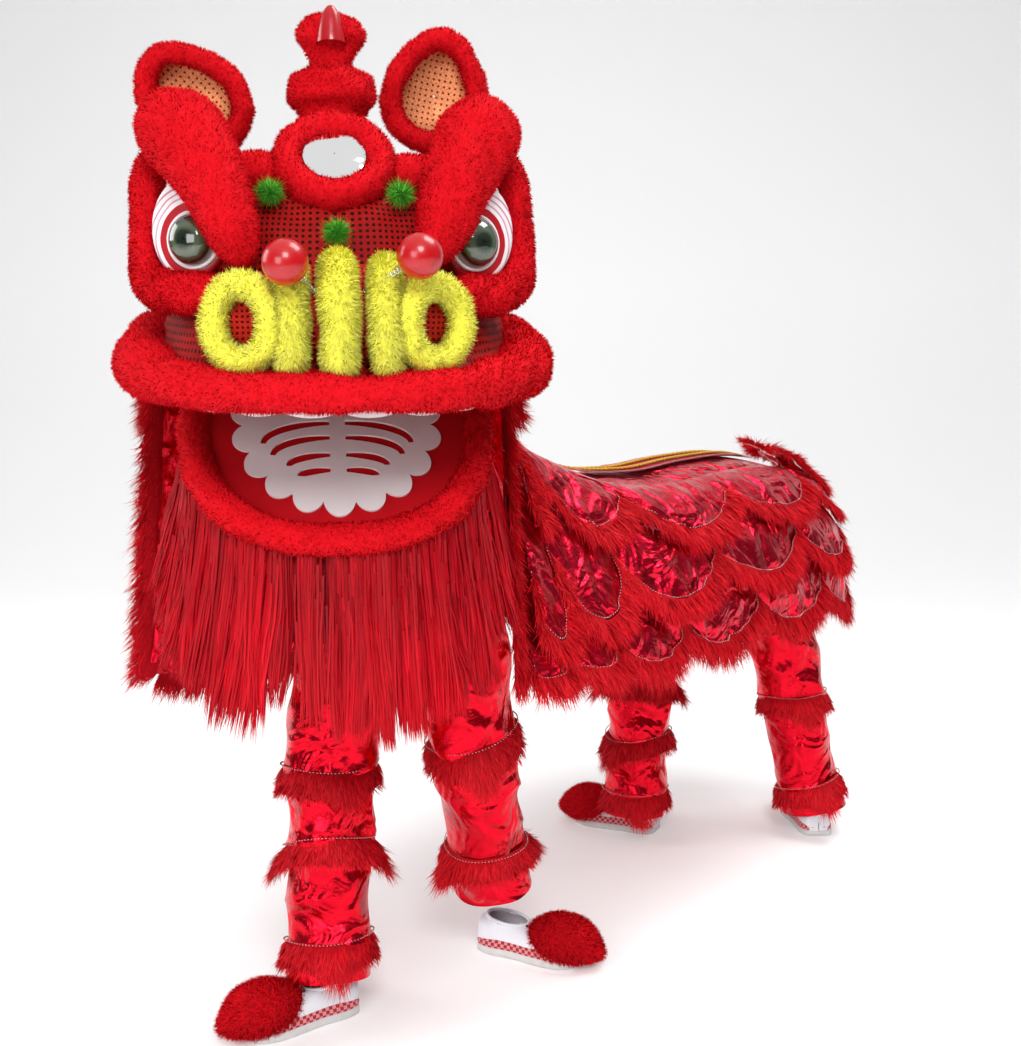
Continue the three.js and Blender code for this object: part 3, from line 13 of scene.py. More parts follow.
import bpy
import numpy as np
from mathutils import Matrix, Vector


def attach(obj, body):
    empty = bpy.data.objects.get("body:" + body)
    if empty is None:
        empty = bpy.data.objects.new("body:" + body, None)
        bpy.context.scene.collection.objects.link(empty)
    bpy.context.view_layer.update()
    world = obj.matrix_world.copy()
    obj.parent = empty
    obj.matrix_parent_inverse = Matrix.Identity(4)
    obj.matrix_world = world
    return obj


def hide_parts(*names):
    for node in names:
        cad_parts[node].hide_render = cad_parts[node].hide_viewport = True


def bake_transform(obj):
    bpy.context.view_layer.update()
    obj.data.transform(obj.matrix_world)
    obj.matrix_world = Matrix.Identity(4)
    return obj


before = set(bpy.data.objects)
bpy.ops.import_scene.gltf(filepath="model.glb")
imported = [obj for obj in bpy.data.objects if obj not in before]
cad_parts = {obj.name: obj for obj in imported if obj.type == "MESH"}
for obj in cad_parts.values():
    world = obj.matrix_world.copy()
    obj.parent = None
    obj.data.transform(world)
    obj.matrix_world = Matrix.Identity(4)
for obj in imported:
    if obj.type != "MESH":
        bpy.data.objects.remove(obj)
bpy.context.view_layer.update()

Array = np.ndarray
Colour = tuple[float, float, float]
log = logging.getLogger("costume")

PICTURE = (1021, 1046)
MM = 0.001
DOWN = np.array([0.0, 0.0, -1.0])
PLUSH_NAP = 6.5
STITCH_GAP = 6.5


class Body(Enum):
    """The bodies of the frame that a piece can ride on."""

    COSTUME = "costume"
    JAW = "jaw"
    EAR_LEFT = "ear_left"
    EAR_RIGHT = "ear_right"


class Slot(Enum):
    """The record's material slots."""

    PLUSH = "plush_red"
    SEQUIN = "sequin_red"
    FOIL = "foil_red"
    FUR = "fur_red"
    YELLOW = "fur_yellow"
    GLOSS = "gloss_red"
    WHITE = "white_board"
    SHOE = "shoe_white"
    GLASS = "eye_glass"
    MIRROR = "mirror_silver"
    TINSEL = "tinsel_green"
    GILDED = "gilded_cloth"
    WOOD = "bar_wood"


# Vectors, paths and places


def unit(vectors: Array) -> Array:
    """Scales vectors to length 1."""
    length = np.linalg.norm(vectors, axis=-1, keepdims=True)
    return vectors / np.maximum(length, 1e-9)


def rounds(count: int) -> Array:
    """Gives evenly spaced angles once round."""
    return np.linspace(0, 2 * np.pi, count, endpoint=False)


def travelled(points: Array) -> Array:
    """Gives how far along a line of points each point is."""
    return np.concatenate([[0], np.cumsum(np.linalg.norm(np.diff(points, axis=0), axis=1))])


def waves(points: Array, size: float, seed: int, terms: int = 6) -> Array:
    """Gives a smooth random value from about -1 to 1 at each point.

    Args:
        points: Points in the last axis.
        size: How far apart the crests are, in millimetres.
        seed: Which pattern it is.
        terms: How many plain waves it is made of.

    Returns:
        One value a point.
    """
    rng = np.random.default_rng(seed)
    total = np.zeros(points.shape[:-1])
    for _ in range(terms):
        heading = unit(rng.normal(size=3)) * rng.uniform(0.7, 1.7)
        total += np.sin(points @ heading * (2 * np.pi / size) + rng.uniform(0, 2 * np.pi))
    return total / (1.1 * math.sqrt(terms))


def turning(axis: int, degrees: float) -> Array:
    """Makes the matrix that turns about an axis.

    Args:
        axis: 0 for x, 1 for y and 2 for z.
        degrees: How far it turns.

    Returns:
        A 4 by 4 matrix.
    """
    a, b = (axis + 1) % 3, (axis + 2) % 3
    matrix = np.eye(4)
    cos, sin = math.cos(math.radians(degrees)), math.sin(math.radians(degrees))
    matrix[a, a], matrix[a, b], matrix[b, a], matrix[b, b] = cos, -sin, sin, cos
    return matrix


def shifting(place: Sequence[float]) -> Array:
    """Makes the matrix that moves by a vector.

    Args:
        place: The vector.

    Returns:
        A 4 by 4 matrix.
    """
    matrix = np.eye(4)
    matrix[:3, 3] = place
    return matrix


def moved(points: Array, matrix: Array) -> Array:
    """Moves points by a matrix."""
    return points @ matrix[:3, :3].T + matrix[:3, 3]


class Path:
    """A smooth line through points, the same line as the frame's parts follow."""

    def __init__(self, points: Sequence[Sequence[float]]) -> None:
        """Lays the line out and measures it.

        Args:
            points: The points that it goes through.
        """
        self.points = np.array(points, float)
        share = np.linspace(0, 1, 40 * len(self.points))
        self.reached = travelled(self.at(share))
        self.shares = share
        self.length = float(self.reached[-1])

    def at(self, share: Array | float) -> Array:
        """Gives points by their share of the line's stretches.

        Args:
            share: 0 at the first point to 1 at the last.

        Returns:
            One point a share.
        """
        share = np.atleast_1d(np.asarray(share, float))
        p = self.points
        last = len(p) - 1
        place = np.clip(share, 0, 1) * last
        i = np.minimum(place.astype(int), last - 1)
        w = (place - i)[:, None]
        line = np.vstack([2 * p[0] - p[1], p, 2 * p[-1] - p[-2]])
        p0, p1, p2, p3 = (line[i + k] for k in range(4))
        g0, g1, g2 = (
            np.sum((b - a) ** 2, axis=1)[:, None] ** 0.25 for a, b in ((p0, p1), (p1, p2), (p2, p3))
        )
        g1 = np.where(g1 < 1e-4, 1.0, g1)
        g0 = np.where(g0 < 1e-4, g1, g0)
        g2 = np.where(g2 < 1e-4, g1, g2)
        start = ((p1 - p0) / g0 - (p2 - p0) / (g0 + g1) + (p2 - p1) / g1) * g1
        end = ((p2 - p1) / g1 - (p3 - p1) / (g1 + g2) + (p3 - p2) / g2) * g1
        c2 = -3 * p1 + 3 * p2 - 2 * start - end
        c3 = 2 * p1 - 2 * p2 + start + end
        return p1 + w * (start + w * (c2 + w * c3))

    def at_length(self, share: Array | float) -> Array:
        """Gives points by their share of the line's length."""
        wanted = np.clip(np.atleast_1d(np.asarray(share, float)), 0, 1) * self.length
        return self.at(np.interp(wanted, self.reached, self.shares))

    def frames(self, shares: Array) -> tuple[Array, Array, Array, Array]:
        """Gives points and directions across the line, without twist.

        Args:
            shares: Shares of the line's length, in order.

        Returns:
            The points, the directions along, and two directions across.
        """
        step = 1e-3
        along = unit(
            self.at_length(np.minimum(shares + step, 1)) - self.at_length(np.maximum(shares - step, 0))
        )
        side = np.array([0.31, 0.53, 0.79])
        across = np.empty_like(along)
        for i, heading in enumerate(along):
            side = unit(side - heading * (side @ heading))
            across[i] = side
        return self.at_length(shares), along, across, np.cross(along, across)


def along(values: Sequence[float], share: Array | float) -> Array:
    """Reads a value off a row of evenly spaced ones, smoothly in between."""
    return Path([(value, 0, 0) for value in values]).at(share)[:, 0]


# Surfaces and hair


@dataclass
class Skin:
    """A surface of points and faces, with what hair on it needs to know."""

    points: Array
    faces: Array
    uv: Array | None = None
    flow: Array | None = None
    growth: Array | None = None

    @classmethod
    def of_grid(cls, grid: Array, wraps: bool = False, uv: Array | None = None, **more: Array) -> "Skin":
        """Makes a surface of points in rows and columns.

        Args:
            grid: Points, rows by columns by 3.
            wraps: Whether the last column joins the first.
            uv: The cloth's own coordinates in metres, rows by columns by 2.
            more: flow or growth, rows by columns.

        Returns:
            The surface.
        """
        rows, columns = grid.shape[:2]
        index = np.arange(rows * columns).reshape(rows, columns)
        if wraps:
            index = np.hstack([index, index[:, :1]])
        a, b = index[:-1, :-1], index[:-1, 1:]
        c, d = index[1:, 1:], index[1:, :-1]
        faces = np.stack([a, d, c, b], axis=-1).reshape(-1, 4)
        flat = {key: value.reshape(rows * columns, -1) for key, value in more.items()}
        if "growth" in flat:
            flat["growth"] = flat["growth"][:, 0]
        return cls(grid.reshape(-1, 3), faces, None if uv is None else uv.reshape(-1, 2), **flat)

    def outward(self, middle: Array) -> "Skin":
        """Turns the faces so that they look away from a middle line or point.

        Args:
            middle: The middle, a point for each of the surface's points or one for all.

        Returns:
            The surface itself.
        """
        if ((self.points - middle) * self.normals()).sum() < 0:
            self.faces = self.faces[:, ::-1]
        return self

    def area(self) -> float:
        """Gives the surface's area in square metres."""
        first, second, third = (self.points[self.triangles()[:, k]] for k in range(3))
        return float(np.linalg.norm(np.cross(second - first, third - first), axis=1).sum()) * 0.5 * MM**2

    def triangles(self) -> Array:
        """Cuts the faces into triangles.

        Returns:
            Three points a triangle.
        """
        if self.faces.shape[1] == 3:
            return self.faces
        return np.vstack([self.faces[:, [0, 1, 2]], self.faces[:, [0, 2, 3]]])

    def normals(self) -> Array:
        """Gives the direction out of the surface at each point.

        Returns:
            One unit vector a point.
        """
        triangles = self.triangles()
        a, b, c = (self.points[triangles[:, k]] for k in range(3))
        out = np.cross(b - a, c - a)
        total = np.zeros_like(self.points)
        for k in range(3):
            np.add.at(total, triangles[:, k], out)
        return unit(total)

    def moved(self, matrix: Array) -> "Skin":
        """Moves the surface and its flow."""
        flow = None if self.flow is None else self.flow @ matrix[:3, :3].T
        return Skin(moved(self.points, matrix), self.faces, self.uv, flow, self.growth)

    def lifted(self, height: Array | float) -> "Skin":
        """Pushes the surface out along its directions."""
        height = np.broadcast_to(height, len(self.points))[:, None]
        return Skin(self.points + self.normals() * height, self.faces, self.uv, self.flow, self.growth)

    def joined(self, *others: "Skin") -> "Skin":
        """Puts surfaces of the same kind of face into one.

        Args:
            others: The other surfaces.

        Returns:
            The one surface.
        """
        skins = [self, *others]
        starts = np.cumsum([0] + [len(skin.points) for skin in skins[:-1]])
        points = np.vstack([skin.points for skin in skins])
        faces = np.vstack([skin.faces + start for skin, start in zip(skins, starts)])

        def together(key: str) -> Array | None:
            """Joins the rows of both."""
            found = [getattr(skin, key) for skin in skins]
            return None if any(value is None for value in found) else np.concatenate(found)

        return Skin(points, faces, together("uv"), together("flow"), together("growth"))


@dataclass(frozen=True)
class Pile:
    """How hair grows: its number, size, and which way it leans.

    lift is its lean out of the surface, lay along its flow, fall straight down, and stray at random.
    """

    count: int
    length: float
    width: float
    stretches: int = 1
    lift: float = 1.0
    lay: float = 0.0
    fall: float = 0.0
    stray: float = 0.35
    ragged: float = 0.35
    droop: float = 0.0
    locks: int = 0
    gather: float = 0.0

    def roots(self, skin: Skin, rng: np.random.Generator) -> tuple[Array, Array, Array, Array]:
        """Picks places on a surface.

        Args:
            skin: The surface.
            rng: The source of chance.

        Returns:
            The places, the directions out, the flow, and how much hair grows there.
        """
        triangles = skin.triangles()
        growth = np.ones(len(skin.points)) if skin.growth is None else skin.growth
        flow = np.zeros_like(skin.points) if skin.flow is None else skin.flow
        a, b, c = (skin.points[triangles[:, k]] for k in range(3))
        weight = np.linalg.norm(np.cross(b - a, c - a), axis=1) * growth[triangles].mean(axis=1)
        total = np.cumsum(weight)
        chosen = triangles[np.searchsorted(total, rng.random(self.count) * total[-1])]
        near, far = np.sqrt(rng.random(self.count)), rng.random(self.count)
        shares = np.stack([1 - near, near * (1 - far), near * far], axis=1)[:, :, None]
        normals = skin.normals()
        return (
            (skin.points[chosen] * shares).sum(axis=1),
            unit((normals[chosen] * shares).sum(axis=1)),
            (flow[chosen] * shares).sum(axis=1),
            (growth[chosen][:, :, None] * shares).sum(axis=1)[:, 0],
        )

    def grown(self, skin: Skin, seed: int) -> "Tuft":
        """Grows the hair on a surface.

        Args:
            skin: The surface.
            seed: Which growth it is.

        Returns:
            The hairs.
        """
        rng = np.random.default_rng(seed)
        root, out, flow, growth = self.roots(skin, rng)
        heading = out * self.lift + flow * self.lay + DOWN * self.fall
        heading = unit(heading + self.stray * rng.normal(size=root.shape) * 0.7)
        size = self.length * (1 - self.ragged * rng.random(self.count)) * np.clip(growth, 0.25, None)
        pull = np.zeros_like(root)
        if self.locks:
            leader = nearest(root, root[: self.locks])
            pull = root[leader] + heading[leader] * size[leader][:, None] - root - heading * size[:, None]
        bend = DOWN * self.droop + 0.18 * rng.normal(size=root.shape)
        side = unit(np.cross(heading, out + 0.6 * rng.normal(size=root.shape))) * (self.width / 2)
        share = np.linspace(0, 1, self.stretches + 1)
        line = [
            root + heading * (size * t)[:, None] + bend * (size * t * t)[:, None] + pull * (
                self.gather * t**1.5
            )
            for t in share
        ]
        facing = unit(out + 0.25 * rng.normal(size=root.shape))
        return Tuft.of_lines(np.stack(line, axis=1), side, rng.random(self.count), facing)


@dataclass
class Tuft:
    """Many thin blades, each with how far along it a point is, its own tone and what its light falls on."""

    points: Array
    faces: Array
    tip: Array
    tone: Array
    facing: Array

    @classmethod
    def of_lines(cls, lines: Array, side: Array, tone: Array, facing: Array) -> "Tuft":
        """Makes a tapered blade along each line.

        Args:
            lines: Blades by points by 3.
            side: Half of each blade's width, as a vector.
            tone: Each blade's own tone from 0 to 1.
            facing: The direction out of the surface at each blade.

        Returns:
            The blades.
        """
        count, stops = lines.shape[:2]
        stretches = stops - 1
        flat = np.cross(side, lines[:, 1] - lines[:, 0])
        side = side * np.where((flat * facing).sum(axis=1, keepdims=True) < 0, -1, 1)
        rows = []
        tips = []
        for k in range(stretches):
            taper = 1 - 0.55 * k / stretches
            rows += [lines[:, k] - side * taper, lines[:, k] + side * taper]
            tips += [k / stretches] * 2
        rows.append(lines[:, -1])
        tips.append(1.0)
        points = np.stack(rows, axis=1)
        pattern = []
        for k in range(stretches - 1):
            a = 2 * k
            pattern += [(a, a + 1, a + 3), (a, a + 3, a + 2)]
        a = 2 * (stretches - 1)
        pattern.append((a, a + 1, a + 2))
        each = points.shape[1]
        faces = (np.arange(count)[:, None, None] * each + np.array(pattern)[None]).reshape(-1, 3)
        out = np.repeat(facing, each, axis=0)
        return cls(points.reshape(-1, 3), faces, np.tile(tips, count), np.repeat(tone, each), out)


def nearest(points: Array, seeds: Array) -> Array:
    """Finds the nearest seed to each point.

    Args:
        points: The points.
        seeds: The seeds.

    Returns:
        One index a point.
    """
    found = [
        np.argmin(((block[:, None] - seeds[None]) ** 2).sum(axis=2), axis=1)
        for block in np.array_split(points.astype(np.float32), max(1, len(points) // 2000))
    ]
    return np.concatenate(found)


# Finishes


class Paint:
    """A material that is put together node by node."""

    def __init__(self, name: str) -> None:
        """Starts a material with one shader.

        Args:
            name: Its name.
        """
        self.material = bpy.data.materials.new(name)
        self.material.use_nodes = True
        self.tree = self.material.node_tree
        self.surface = self.tree.nodes["Principled BSDF"]

    def set(self, **values: object) -> "Paint":
        """Sets or links inputs of the surface by name, with _ for a space.

        Args:
            values: The inputs.

        Returns:
            The paint itself.
        """
        for name, value in values.items():
            self.give(self.surface.inputs[name.replace("_", " ")], value)
        return self

    def give(self, socket: bpy.types.NodeSocket, value: object) -> None:
        """Sets an input to a value or links it to an output.

        Args:
            socket: The input.
            value: A number, colour, vector or output.
        """
        if isinstance(value, bpy.types.NodeSocket):
            self.tree.links.new(value, socket)
        elif isinstance(value, tuple) and len(value) == 3 and socket.type == "RGBA":
            socket.default_value = (*value, 1.0)
        else:
            socket.default_value = value

    def add(self, kind: str, *values: object, out: int = 0, **settings: object) -> bpy.types.NodeSocket:
        """Adds a node.

        Args:
            kind: Its type, after ShaderNode.
            values: Its inputs in order, None to leave one.
            out: Which output is wanted.
            settings: Its properties.

        Returns:
            The output.
        """
        node = self.tree.nodes.new(f"ShaderNode{kind}")
        for key, value in settings.items():
            setattr(node, key, value)
        for socket, value in zip(node.inputs, values):
            if value is not None:
                self.give(socket, value)
        return node.outputs[out]

    def maths(self, operation: str, *values: object) -> bpy.types.NodeSocket:
        """Adds a sum on numbers."""
        return self.add("Math", *values, operation=operation)

    def vector(self, operation: str, *values: object, out: int = 0) -> bpy.types.NodeSocket:
        """Adds a sum on vectors."""
        return self.add("VectorMath", *values, operation=operation, out=out)

    def place(self) -> bpy.types.NodeSocket:
        """Gives the place on the object, in metres."""
        return self.add("TexCoord", out=3)

    def cloth_place(self) -> bpy.types.NodeSocket:
        """Gives the place on the flat cloth, in metres."""
        return self.add("TexCoord", out=2)

    def noise(
        self, scale: float, detail: float = 2.0, where: object = None, distortion: float = 0.0
    ) -> bpy.types.NodeSocket:
        """Adds cloudy noise from 0 to 1."""
        where = where or self.place()
        return self.add("TexNoise", where, None, scale, detail, 0.55, None, None, None, distortion)

    def value(self, name: str) -> bpy.types.NodeSocket:
        """Reads a value that the mesh carries."""
        return self.add("Attribute", attribute_name=name, attribute_type="GEOMETRY", out=2)

    def mix(self, share: object, first: object, second: object) -> bpy.types.NodeSocket:
        """Mixes two colours.

        Args:
            share: How much of the second colour, from 0 to 1.
            first: The first colour.
            second: The second colour.

        Returns:
            The mixed colour.
        """
        node = self.tree.nodes.new("ShaderNodeMix")
        node.data_type = "RGBA"
        for index, value in ((0, share), (6, first), (7, second)):
            self.give(node.inputs[index], value)
        return node.outputs[2]

    def bump(
        self, height: object, strength: float, distance: float, onto: object = None
    ) -> bpy.types.NodeSocket:
        """Adds small relief, distance in metres.

        Args:
            height: What raises the surface.
            strength: How strong it is.
            distance: How high it stands, in metres.
            onto: The relief that it lies on, if any.

        Returns:
            The relief's normal.
        """
        node = self.tree.nodes.new("ShaderNodeBump")
        for name, value in (
            ("Height", height), ("Strength", strength), ("Distance", distance), ("Normal", onto)
        ):
            if value is not None:
                self.give(node.inputs[name], value)
        return node.outputs[0]

    def spread(self, value: object, low: float, high: float) -> bpy.types.NodeSocket:
        """Stretches a value from 0..1 to low..high."""
        return self.maths("MULTIPLY_ADD", value, high - low, low)


@dataclass(frozen=True)
class Hair:
    """Hair from a dark root to a brighter tip, or the backing that it grows on; the darker root is painted
    shade deep in the pile.
    """

    name: str
    # The root colour is darker than the tip colour by painted shade deep in the pile.
    root: Colour
    tip: Colour
    roughness: float = 0.62
    sheen: float = 0.35
    variety: float = 0.14
    # glow is the strength of a painted glow in the tip colour.
    glow: float = 0.045

    @lru_cache(maxsize=None)
    def material(self) -> bpy.types.Material:
        """Makes the material once, with a painted glow that stands in for the light that hairs pass on to
        each other.

        Returns:
            The material.
        """
        paint = Paint(self.name)
        depth = paint.value("tip")
        patch = paint.noise(14.0, 3.0)
        tone = paint.spread(paint.value("tone"), 1 - self.variety, 1 + self.variety)
        shade = paint.maths("MULTIPLY", tone, paint.spread(patch, 0.62, 1.3))
        # Darker towards the root: painted shade deep in the pile.
        colour = paint.mix(depth, self.root, self.tip)
        paint.set(
            Base_Color=paint.vector("SCALE", colour, None, None, shade),
            Roughness=self.roughness,
            Sheen_Weight=self.sheen,
            Sheen_Roughness=0.5,
            Sheen_Tint=(*self.tip, 1.0),
            Specular_IOR_Level=0.15,
            # Painted glow: the hair gives off a little light of its own in its tip colour.
            Emission_Color=(*self.tip, 1.0),
            Emission_Strength=self.glow,
        )
        return paint.material


@dataclass(frozen=True)
class Nap:
    """Short dense cloth pile without separate hairs, such as felt, plush backing or canvas."""

    name: str
    colour: Colour
    deep: Colour
    grain: float = 900.0
    relief: float = 0.0012
    roughness: float = 0.9
    sheen: float = 0.5

    @lru_cache(maxsize=None)
    def material(self) -> bpy.types.Material:
        """Makes the material once.

        Returns:
            The material.
        """
        paint = Paint(self.name)
        fine = paint.noise(self.grain, 3.0)
        patch = paint.noise(22.0, 3.0)
        shade = paint.maths("MULTIPLY", paint.spread(fine, 0.6, 1.0), paint.spread(patch, 0.75, 1.25))
        paint.set(
            Base_Color=paint.mix(shade, self.deep, self.colour),
            Roughness=self.roughness,
            Sheen_Weight=self.sheen,
            Sheen_Tint=(*self.colour, 1.0),
            Specular_IOR_Level=0.2,
            Normal=paint.bump(fine, 0.7, self.relief),
        )
        return paint.material


@dataclass(frozen=True)
class Foil:
    """Thin metallic foil cloth with broad soft creases and fine crackle, and painted shade in the low parts
    of its creases.
    """

    name: str
    colour: Colour
    # deep is the colour of the painted shade in the creases.
    deep: Colour
    crease: float = 1.0

    @lru_cache(maxsize=None)
    def material(self) -> bpy.types.Material:
        """Makes the material once.

        Returns:
            The material.
        """
        paint = Paint(self.name)
        where = paint.place()
        broad = paint.noise(11.0, 2.0, where, 0.8)
        middle = paint.noise(34.0, 3.0, where, 1.2)
        edges = paint.add("TexVoronoi", where, None, 26.0, feature="DISTANCE_TO_EDGE")
        crackle = paint.maths("SMOOTH_MIN", edges, 0.12, 0.1)
        weave = paint.noise(2200.0, 1.0, where)
        relief = paint.bump(broad, 0.9 * self.crease, 0.05)
        relief = paint.bump(middle, 0.26 * self.crease, 0.012, relief)
        relief = paint.bump(crackle, 0.12 * self.crease, 0.012, relief)
        relief = paint.bump(weave, 0.2, 0.0003, relief)
        paint.set(
            # The colour goes to deep where the middle creases sink: painted shade in the creases.
            Base_Color=paint.mix(paint.spread(middle, 0.1, 1.1), self.deep, self.colour),
            Metallic=0.93,
            Roughness=paint.spread(middle, 0.15, 0.32),
            Normal=relief,
        )
        return paint.material


@dataclass(frozen=True)
class Dotted:
    """Glittering cloth with a grid of small dark holes or sequins."""

    name: str
    colour: Colour
    dot: Colour
    pitch: float = 11.0
    radius: float = 0.27
    metallic: float = 0.45
    roughness: float = 0.4

    @lru_cache(maxsize=None)
    def material(self) -> bpy.types.Material:
        """Makes the material once.

        Returns:
            The material.
        """
        paint = Paint(self.name)
        cells = paint.vector("SCALE", paint.cloth_place(), None, None, 1 / (self.pitch * MM))
        centred = paint.vector("SUBTRACT", paint.vector("FRACTION", cells), (0.5, 0.5, 0.0))
        reach = paint.vector("LENGTH", centred, out=1)
        hole = paint.maths("LESS_THAN", reach, self.radius)
        glitter = paint.add("TexVoronoi", paint.place(), None, 900.0, out=1)
        spark = paint.add("SeparateColor", glitter)
        patch = paint.noise(18.0, 3.0)
        ground = paint.vector("SCALE", self.rgb(paint), None, None, paint.spread(spark, 0.55, 1.25))
        ground = paint.vector("SCALE", ground, None, None, paint.spread(patch, 0.7, 1.3))
        paint.set(
            Base_Color=paint.mix(hole, ground, self.dot),
            Metallic=self.metallic,
            Roughness=paint.spread(spark, self.roughness - 0.15, self.roughness + 0.2),
            Specular_IOR_Level=0.1,
            Normal=paint.bump(hole, 0.6, -0.0012, paint.bump(spark, 0.5, 0.0008)),
        )
        return paint.material

    def rgb(self, paint: Paint) -> bpy.types.NodeSocket:
        """Gives the ground colour as an output.

        Args:
            paint: Where the nodes are made.

        Returns:
            The colour's socket.
        """
        node = paint.tree.nodes.new("ShaderNodeRGB")
        node.outputs[0].default_value = (*self.colour, 1.0)
        return node.outputs[0]


@dataclass(frozen=True)
class Rings:
    """Colours in rings round the middle of the cloth's own coordinates, which are in shares of a radius."""

    name: str
    stops: tuple[tuple[float, Colour], ...]
    reach: float
    roughness: float = 0.4
    coat: float = 0.0
    soft: bool = False

    @lru_cache(maxsize=None)
    def material(self) -> bpy.types.Material:
        """Makes the material once.

        Returns:
            The material.
        """
        paint = Paint(self.name)
        away = paint.vector("LENGTH", paint.cloth_place(), out=1)
        wobble = paint.maths("MULTIPLY_ADD", paint.noise(30.0, 2.0), 0.05 * self.reach, away)
        ramp = paint.tree.nodes.new("ShaderNodeValToRGB")
        ramp.color_ramp.interpolation = "EASE" if self.soft else "CONSTANT"
        paint.give(ramp.inputs[0], paint.maths("DIVIDE", wobble, self.reach))
        bars = ramp.color_ramp.elements
        while len(bars) < len(self.stops):
            bars.new(1.0)
        for bar, (place, colour) in zip(bars, self.stops):
            bar.position = place
            bar.color = (*colour, 1.0)
        paint.set(
            Base_Color=ramp.outputs[0],
            Roughness=self.roughness,
            Coat_Weight=self.coat,
            Coat_Roughness=0.03,
            Normal=paint.bump(paint.noise(700.0, 2.0), 0.15, 0.0005),
        )
        return paint.material


@dataclass(frozen=True)
class Hard:
    """A smooth hard finish, with slight unevenness in its colour and shine."""

    name: str
    colour: Colour
    roughness: float = 0.3
    metallic: float = 0.0
    coat: float = 0.0
    grain: float = 60.0
    uneven: float = 0.12
    relief: float = 0.0004
    glow: float = 0.0

    @lru_cache(maxsize=None)
    def material(self) -> bpy.types.Material:
        """Makes the material once.

        Returns:
            The material.
        """
        paint = Paint(self.name)
        patch = paint.noise(self.grain, 3.0)
        dark = tuple(max(part * (1 - 2 * self.uneven), 0.0) for part in self.colour)
        paint.set(
            Base_Color=paint.mix(patch, dark, self.colour),
            Metallic=self.metallic,
            Roughness=paint.spread(patch, self.roughness * 0.7, self.roughness * 1.3),
            Coat_Weight=self.coat,
            Coat_Roughness=0.05,
            Emission_Color=(*self.colour, 1.0),
            Emission_Strength=self.glow,
            Normal=paint.bump(patch, 0.3, self.relief),
        )
        return paint.material


@dataclass(frozen=True)
class Checks:
    """A band of small squares of two colours, such as a shoe's side band."""

    name: str
    colour: Colour
    other: Colour
    pitch: float = 7.0

    @lru_cache(maxsize=None)
    def material(self) -> bpy.types.Material:
        """Makes the material once.

        Returns:
            The material.
        """
        paint = Paint(self.name)
        squares = paint.add("TexChecker", paint.cloth_place(), self.colour, self.other, 1 / (self.pitch * MM))
        glitter = paint.add("SeparateColor", paint.add("TexVoronoi", paint.place(), None, 700.0, out=1))
        paint.set(
            Base_Color=squares,
            Metallic=0.3,
            Roughness=paint.spread(glitter, 0.3, 0.7),
            Normal=paint.bump(glitter, 0.4, 0.0006),
        )
        return paint.material


# Each hair's root colour is darker than its tip by painted shade deep in the pile.
PLUSH_HAIR = Hair("plush_hair", (0.60, 0.0, 0.005), (0.80, 0.003, 0.012), 0.85, 0.3)
PLUSH_BACK = Nap("plush_backing", (0.72, 0.002, 0.010), (0.50, 0.0, 0.004))
FUR_HAIR = Hair("red_fur", (0.46, 0.0, 0.005), (0.84, 0.010, 0.022), 0.6, 0.3, 0.22)
FUR_BACK = Nap("red_fur_backing", (0.50, 0.0, 0.007), (0.26, 0.0, 0.004), 300.0, 0.004)
BEARD_HAIR = Hair("beard_hair", (0.34, 0.0, 0.005), (0.58, 0.003, 0.012), 0.5, 0.15, 0.34, 0.02)
BEARD_BACK = Nap("beard_backing", (0.22, 0.0, 0.004), (0.06, 0.0, 0.001), 120.0, 0.006)
YELLOW_HAIR = Hair("yellow_fur", (0.86, 0.80, 0.06), (0.94, 0.95, 0.20), 0.85, 0.2)
YELLOW_BACK = Nap("yellow_fur_backing", (0.92, 0.90, 0.10), (0.80, 0.74, 0.03))
TINSEL_HAIR = Hair("green_tinsel", (0.0, 0.09, 0.010), (0.14, 0.60, 0.05), 0.2, 0.0, 0.5)
# Each foil's second colour is the painted shade in its creases.
FOIL = Foil("red_foil", (0.90, 0.012, 0.045), (0.62, 0.002, 0.02))
LEG_FOIL = Foil("red_leg_foil", (0.84, 0.006, 0.024), (0.55, 0.0, 0.010), 0.7)
HEAD_CLOTH = Dotted("head_cloth", (0.36, 0.005, 0.004), (0.03, 0.0, 0.0), 9.5, 0.27, 0.0, 0.6)
NOSE_CLOTH = Dotted("nose_cloth", (0.50, 0.02, 0.012), (0.12, 0.0, 0.0), 8.0, 0.28, 0.2, 0.5)
EAR_CLOTH = Dotted("ear_lining", (0.78, 0.30, 0.13), (0.17, 0.02, 0.01), 10.0, 0.2, 0.35)
STRIP_CLOTH = Dotted("spine_sequins", (0.55, 0.01, 0.015), (0.10, 0.01, 0.09), 8.0, 0.34)
JAW_FELT = Nap("jaw_felt", (0.55, 0.002, 0.008), (0.30, 0.0, 0.003), 600.0, 0.0008)
BOARD = Hard("white_board_finish", (0.86, 0.85, 0.86), 0.45, grain=12.0, uneven=0.04)
CANVAS = Nap("shoe_canvas", (0.84, 0.85, 0.90), (0.60, 0.61, 0.68), 1400.0, 0.0005, 0.8, 0.1)
RUBBER = Hard("shoe_sole", (0.74, 0.73, 0.72), 0.6)
DARK = Hard("dark_eyelet", (0.01, 0.01, 0.012), 0.35)
BAND = Checks("shoe_band", (0.42, 0.01, 0.02), (0.72, 0.30, 0.32))
BRAID = Hard("gold_braid", (0.90, 0.48, 0.03), 0.35, 0.5, grain=900.0, uneven=0.2, relief=0.001)
STITCH = Hard("bead_stitching", (0.86, 0.42, 0.42), 0.2, 0.8, grain=400.0, uneven=0.3)
BALL = Hard("gloss_red_ball", (0.50, 0.002, 0.006), 0.3, coat=0.25)
TIP = Hard("gloss_horn_tip", (0.45, 0.002, 0.008), 0.25, coat=0.3)
